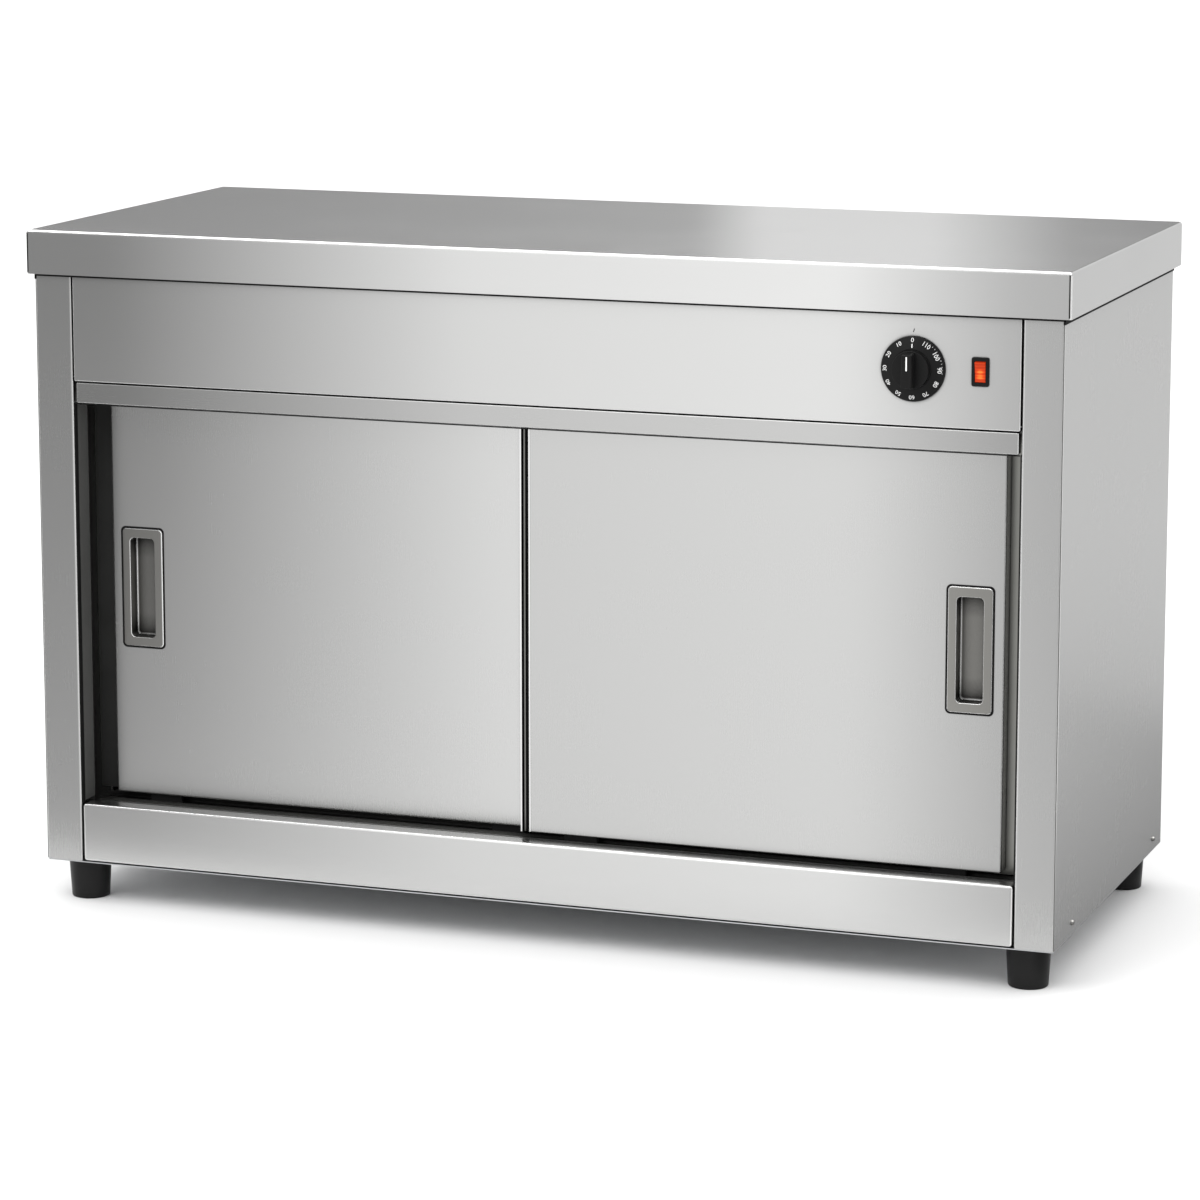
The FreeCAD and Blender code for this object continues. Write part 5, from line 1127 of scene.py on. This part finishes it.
ribs = add(tree, "ShaderNodeTexWave", {"bands_direction": "Z"},
           {"Vector": place, "Scale": RIB_SCALE, "Distortion": RIB_WANDER}).outputs[1]
lit = calculated(tree, "MULTIPLY", total, remapped(tree, ribs, 0.0, 1.0, RIB_DARK, RIB_LIGHT))
ramp = add(tree, "ShaderNodeValToRGB", None, {0: lit})
ramp.color_ramp.elements[0].color = GLOW_DARK
ramp.color_ramp.elements[1].color = GLOW_BRIGHT
ramp.color_ramp.elements.new(0.5).color = GLOW_MIDDLE
plastic = blended(tree, ribs, (0.20, 0.018, 0.004, 1), (0.28, 0.028, 0.006, 1))
shader.inputs["Roughness"].default_value = 0.22
shader.inputs["Emission Strength"].default_value = 0.75
shader.inputs["Specular IOR Level"].default_value = 0.15
feed(tree, shader, {"Base Color": plastic, "Emission Color": ramp.outputs[0]})
finished("rocker_lens", rocker_mesh, glow, "switch_rocker", ["rocker"])
print("rocker faces:", len(rocker_mesh.polygons))

# %% [markdown]
# ## Screws
# Twelve small cross recess screws hold the casings and the back. Each has the same head, so one head is
# made in Geometry Nodes, with the cross cut out of it, and an instance stands on every point where the
# CAD has a screw, looking the way that screw looks. The CAD's screws are one node, so its loose parts
# give the points.

# %% Find the screws of the CAD model
def loose_boxes(mesh):
    """The low and high corner of each loose part of a mesh, in the order of its points."""
    work = opened(mesh)
    boxes = []
    found = set()
    for start in work.verts:
        if start in found:
            continue
        found.add(start)
        group = [start]
        for vertex in group:
            for edge in vertex.link_edges:
                other = edge.other_vert(vertex)
                if other not in found:
                    found.add(other)
                    group.append(other)
        places = np.array([vertex.co for vertex in group])
        boxes.append((places.min(0), places.max(0)))
    work.free()
    return boxes


screw_points = []
for low, high in loose_boxes(welded("panel_screws")):
    middle = (low + high) / 2
    if high[0] > body_high.x:
        screw_points.append(((body_high.x, middle[1], middle[2]), (1, 0, 0)))
    elif low[0] < -body_high.x:
        screw_points.append(((-body_high.x, middle[1], middle[2]), (-1, 0, 0)))
    else:
        screw_points.append(((middle[0], body_back, middle[2]), (0, 1, 0)))
print("screws:", len(screw_points))

# %% Screw head tree
screw_tree, source, sink = geometry_tree(
    "cross recess heads",
    [("Head radius", "Float"), ("Top radius", "Float"), ("Head height", "Float"), ("Recess width", "Float"),
     ("Recess reach", "Float"), ("Material", "Material")])
height = source["Head height"]
head = add(screw_tree, "GeometryNodeMeshCone", {"fill_type": "NGON"},
           {"Vertices": 28, "Side Segments": 1, "Radius Top": source["Top radius"],
            "Radius Bottom": source["Head radius"], "Depth": height}).outputs[0]
for first, second in (("Recess width", "Recess reach"), ("Recess reach", "Recess width")):
    arm = add(screw_tree, "GeometryNodeTransform", None,
              {"Geometry": box_of(screw_tree, source[first], source[second], height),
               "Translation": add(screw_tree, "ShaderNodeCombineXYZ", None, {2: height}).outputs[0]})
    head = add(screw_tree, "GeometryNodeMeshBoolean", {"operation": "DIFFERENCE"},
               {"Mesh 1": head, "Mesh 2": arm.outputs[0]}).outputs[0]
facing = add(screw_tree, "GeometryNodeInputNamedAttribute", {"data_type": "FLOAT_VECTOR"},
             {"Name": "facing"}).outputs[0]
copied_out(screw_tree, sink, source[0], head, "Z", facing, source["Material"])
print("tree:", screw_tree.name)

# %% Screw heads
heads = grown_by(screw_tree, {"Head radius": 0.0036, "Top radius": 0.0027, "Head height": 0.0021,
                              "Recess width": 0.0009, "Recess reach": 0.0034,
                              "Material": finish["screw_steel"]}, screw_points)
shade_folds(heads)
finished("panel_screw_heads", heads, finish["screw_steel"], "cabinet", ["panel_screws"])
print("screw faces:", len(heads.polygons))

# %% [markdown]
# ## The studio
# Steel looks like whatever stands round it, so the studio matters as much as the material. The floor is a
# wide pale sheet. The room is a soft dome, brightest overhead, which lights the floor evenly and leaves a
# soft shadow under the body. A soft box in front on the left throws that shadow to the right and back.

# %% Floor
FLOOR_HALF = 60.0
PAPER_DARK, PAPER_LIGHT = (0.84, 0.84, 0.84, 1), (0.86, 0.86, 0.86, 1)
floor_mesh = bpy.data.meshes.new("floor")
corners = [(u * FLOOR_HALF, v * FLOOR_HALF, 0) for u, v in ((-1, -1), (1, -1), (1, 1), (-1, 1))]
floor_mesh.from_pydata(corners, [], [(0, 1, 2, 3)])
floor = bpy.data.objects.new("floor", floor_mesh)
bpy.context.scene.collection.objects.link(floor)
paper, tree, shader = new_material("pale_floor")
speckle = noise(tree, object_place(tree), 3.0)
feed(tree, shader, {"Base Color": blended(tree, speckle, PAPER_DARK, PAPER_LIGHT)})
shader.inputs["Roughness"].default_value = 0.9
shader.inputs["Specular IOR Level"].default_value = 0.1
floor_mesh.materials.append(paper)
print("floor", 2 * FLOOR_HALF, "m wide")

# %% Dome
HORIZON_LIGHT, ZENITH_LIGHT, GROUND_WHITE = 0.62, 1.75, 1.1
MIRRORED_FROM, MIRRORED_TO, MIRRORED_GAIN = 0.35, 0.8, 2.2
world = bpy.data.worlds.new("soft_dome")
bpy.context.scene.world = world
world.use_nodes = True
tree = world.node_tree
background = tree.nodes["Background"]
direction = add(tree, "ShaderNodeTexCoord").outputs["Generated"]
upward = add(tree, "ShaderNodeSeparateXYZ", None, {0: direction}).outputs["Z"]
paths = add(tree, "ShaderNodeLightPath").outputs
level = remapped(tree, upward, 0.0, 1.0, HORIZON_LIGHT, ZENITH_LIGHT)
overhead = remapped(tree, upward, MIRRORED_FROM, MIRRORED_TO, 1.0, MIRRORED_GAIN)
mirrored = calculated(tree, "MULTIPLY", level, mixed(tree, paths["Is Glossy Ray"], 1.0, overhead))
tree.links.new(mixed(tree, paths["Is Camera Ray"], mirrored, GROUND_WHITE), background.inputs["Strength"])
background.inputs["Color"].default_value = (1.0, 1.0, 1.0, 1)
print("dome from", HORIZON_LIGHT, "to", ZENITH_LIGHT)

# %% Soft box
KEY_PLACE, KEY_TARGET = Vector((-0.9, -2.8, 3.2)), Vector((0, 0, 0.3))
KEY_SIDE, KEY_POWER = 2.0, 50
key = bpy.data.lights.new("key_soft_box", "AREA")
key.shape = "SQUARE"
key.size = KEY_SIDE
key.energy = KEY_POWER
holder = bpy.data.objects.new("key_soft_box", key)
holder.location = KEY_PLACE
holder.rotation_euler = (KEY_TARGET - KEY_PLACE).to_track_quat("-Z", "Y").to_euler()
holder.visible_camera = False
bpy.context.scene.collection.objects.link(holder)
print("soft box", KEY_SIDE, "m wide at", tuple(KEY_PLACE))

# %% [markdown]
# ## Cards for the reflections
# In the photograph the steel is darker on the left, bright in the middle and darker again on the right.
# That is the studio mirrored in it. A few cards that only reflections see stand round the cabinet for
# this: one in front, one behind for the worktop, and two for the side. Each fades between a few stops, as
# a paper gradient in a studio does, and the front card has a second row of stops higher up. The levels
# were matched to the greys of the photograph.


# %% Graded card helper
def upright(left, right, bottom, top, y):
    """The corners of a card that stands across the view."""
    return [(left, y, bottom), (right, y, bottom), (right, y, top), (left, y, top)]


def share_of(tree, content, first, last):
    """How far a value is between two others, from 0 to 1."""
    return add(tree, "ShaderNodeMapRange", None, {0: content, 1: first, 2: last, 3: 0.0, 4: 1.0}).outputs[0]


def graded(tree, share, spots, levels, peak):
    """A ramp with a grey for each spot, as shares of the brightest."""
    ramp = add(tree, "ShaderNodeValToRGB", None, {0: share})
    stops = ramp.color_ramp.elements
    while len(stops) < len(spots):
        stops.new(0.5)
    for stop, spot, level in zip(stops, spots, levels):
        stop.position = (spot - spots[0]) / (spots[-1] - spots[0])
        stop.color = (level / peak, level / peak, level / peak, 1)
    return ramp.outputs[0]


def card(name, corners, axis, spots, levels, high_levels=None, rows=(0, 1)):
    """A card that only reflections see: its brightness at spots along an axis, in a low and a high row."""
    mesh = bpy.data.meshes.new(name)
    mesh.from_pydata(corners, [], [(0, 1, 2, 3)])
    material = bpy.data.materials.new(name)
    material.use_nodes = True
    tree = material.node_tree
    tree.nodes.clear()
    parts = add(tree, "ShaderNodeSeparateXYZ", None, {0: object_place(tree)}).outputs
    along = share_of(tree, parts[axis], spots[0], spots[-1])
    up = share_of(tree, parts["Z"], *rows)
    peak = max(levels + (high_levels or ()))
    colours = [graded(tree, along, spots, row, peak) for row in (levels, high_levels or levels)]
    glow = add(tree, "ShaderNodeEmission", None, {"Color": blended(tree, up, *colours), "Strength": peak})
    tree.links.new(glow.outputs[0], tree.nodes.new("ShaderNodeOutputMaterial").inputs[0])
    mesh.materials.append(material)
    holder = bpy.data.objects.new(name, mesh)
    bpy.context.scene.collection.objects.link(holder)
    for use in ("camera", "diffuse", "shadow", "transmission"):
        setattr(holder, "visible_" + use, False)


print("card helper ready")

# %% Cards in front and behind
FRONT_SPOTS = (-1.10, -0.60, -0.15, 0.30, 0.50, 0.80)
FRONT_HIGH = (0.35, 0.35, 1.20, 1.35, 0.75, 0.60)
FRONT_LOW = (0.50, 0.55, 1.15, 1.30, 0.80, 0.60)
FRONT_ROWS = (0.045, 0.672)
FRONT_Y, FRONT_BOTTOM, CARD_TOP = -0.46, 0.003, 1.2
BACK_SPOTS = (-1.40, -0.30, -0.20, 0.05, 0.25, 0.60)
BACK_LEVELS = (0.25, 0.45, 0.85, 0.85, 0.40, 0.25)
BACK_Y, BACK_BOTTOM, BACK_TOP = 1.20, 0.80, 1.7
card("front_card", upright(FRONT_SPOTS[0], FRONT_SPOTS[-1], FRONT_BOTTOM, CARD_TOP, FRONT_Y), "X",
     FRONT_SPOTS, FRONT_LOW, FRONT_HIGH, FRONT_ROWS)
card("back_card", upright(BACK_SPOTS[0], BACK_SPOTS[-1], BACK_BOTTOM, BACK_TOP, BACK_Y), "X",
     BACK_SPOTS, BACK_LEVELS)
print("front and back cards set")

# %% Cards for the right side
SIDE_SPOTS = (0.0, 0.08, 0.18, 0.30, CARD_TOP)
SIDE_LEVELS = (0.50, 0.70, 0.76, 0.80, 0.80)
SIDE_LEFT, SIDE_RIGHT, SIDE_Y = 0.63, 1.60, 1.00
LYING_SPOTS, LYING_LEVELS = (0.615, 0.80, 1.15), (0.36, 0.52, 0.72)
LYING_FRONT, LYING_Z = -0.30, 0.004
card("side_card", upright(SIDE_LEFT, SIDE_RIGHT, 0.0, CARD_TOP, SIDE_Y), "Z", SIDE_SPOTS, SIDE_LEVELS)
near, far = LYING_SPOTS[0], LYING_SPOTS[-1]
card("floor_card", [(near, LYING_FRONT, LYING_Z), (far, LYING_FRONT, LYING_Z), (far, SIDE_Y, LYING_Z),
                    (near, SIDE_Y, LYING_Z)], "X", LYING_SPOTS, LYING_LEVELS)
print("side and floor cards set")

# %% [markdown]
# ## Development
# The picture is a plain product shot with a pure white ground. The Standard view keeps white paper white,
# where a film-like view would grey it.

# %% View settings
bpy.context.scene.view_settings.view_transform = "Standard"
bpy.context.scene.view_settings.look = "None"
bpy.context.scene.view_settings.exposure = 0.0
print("view:", bpy.context.scene.view_settings.view_transform)
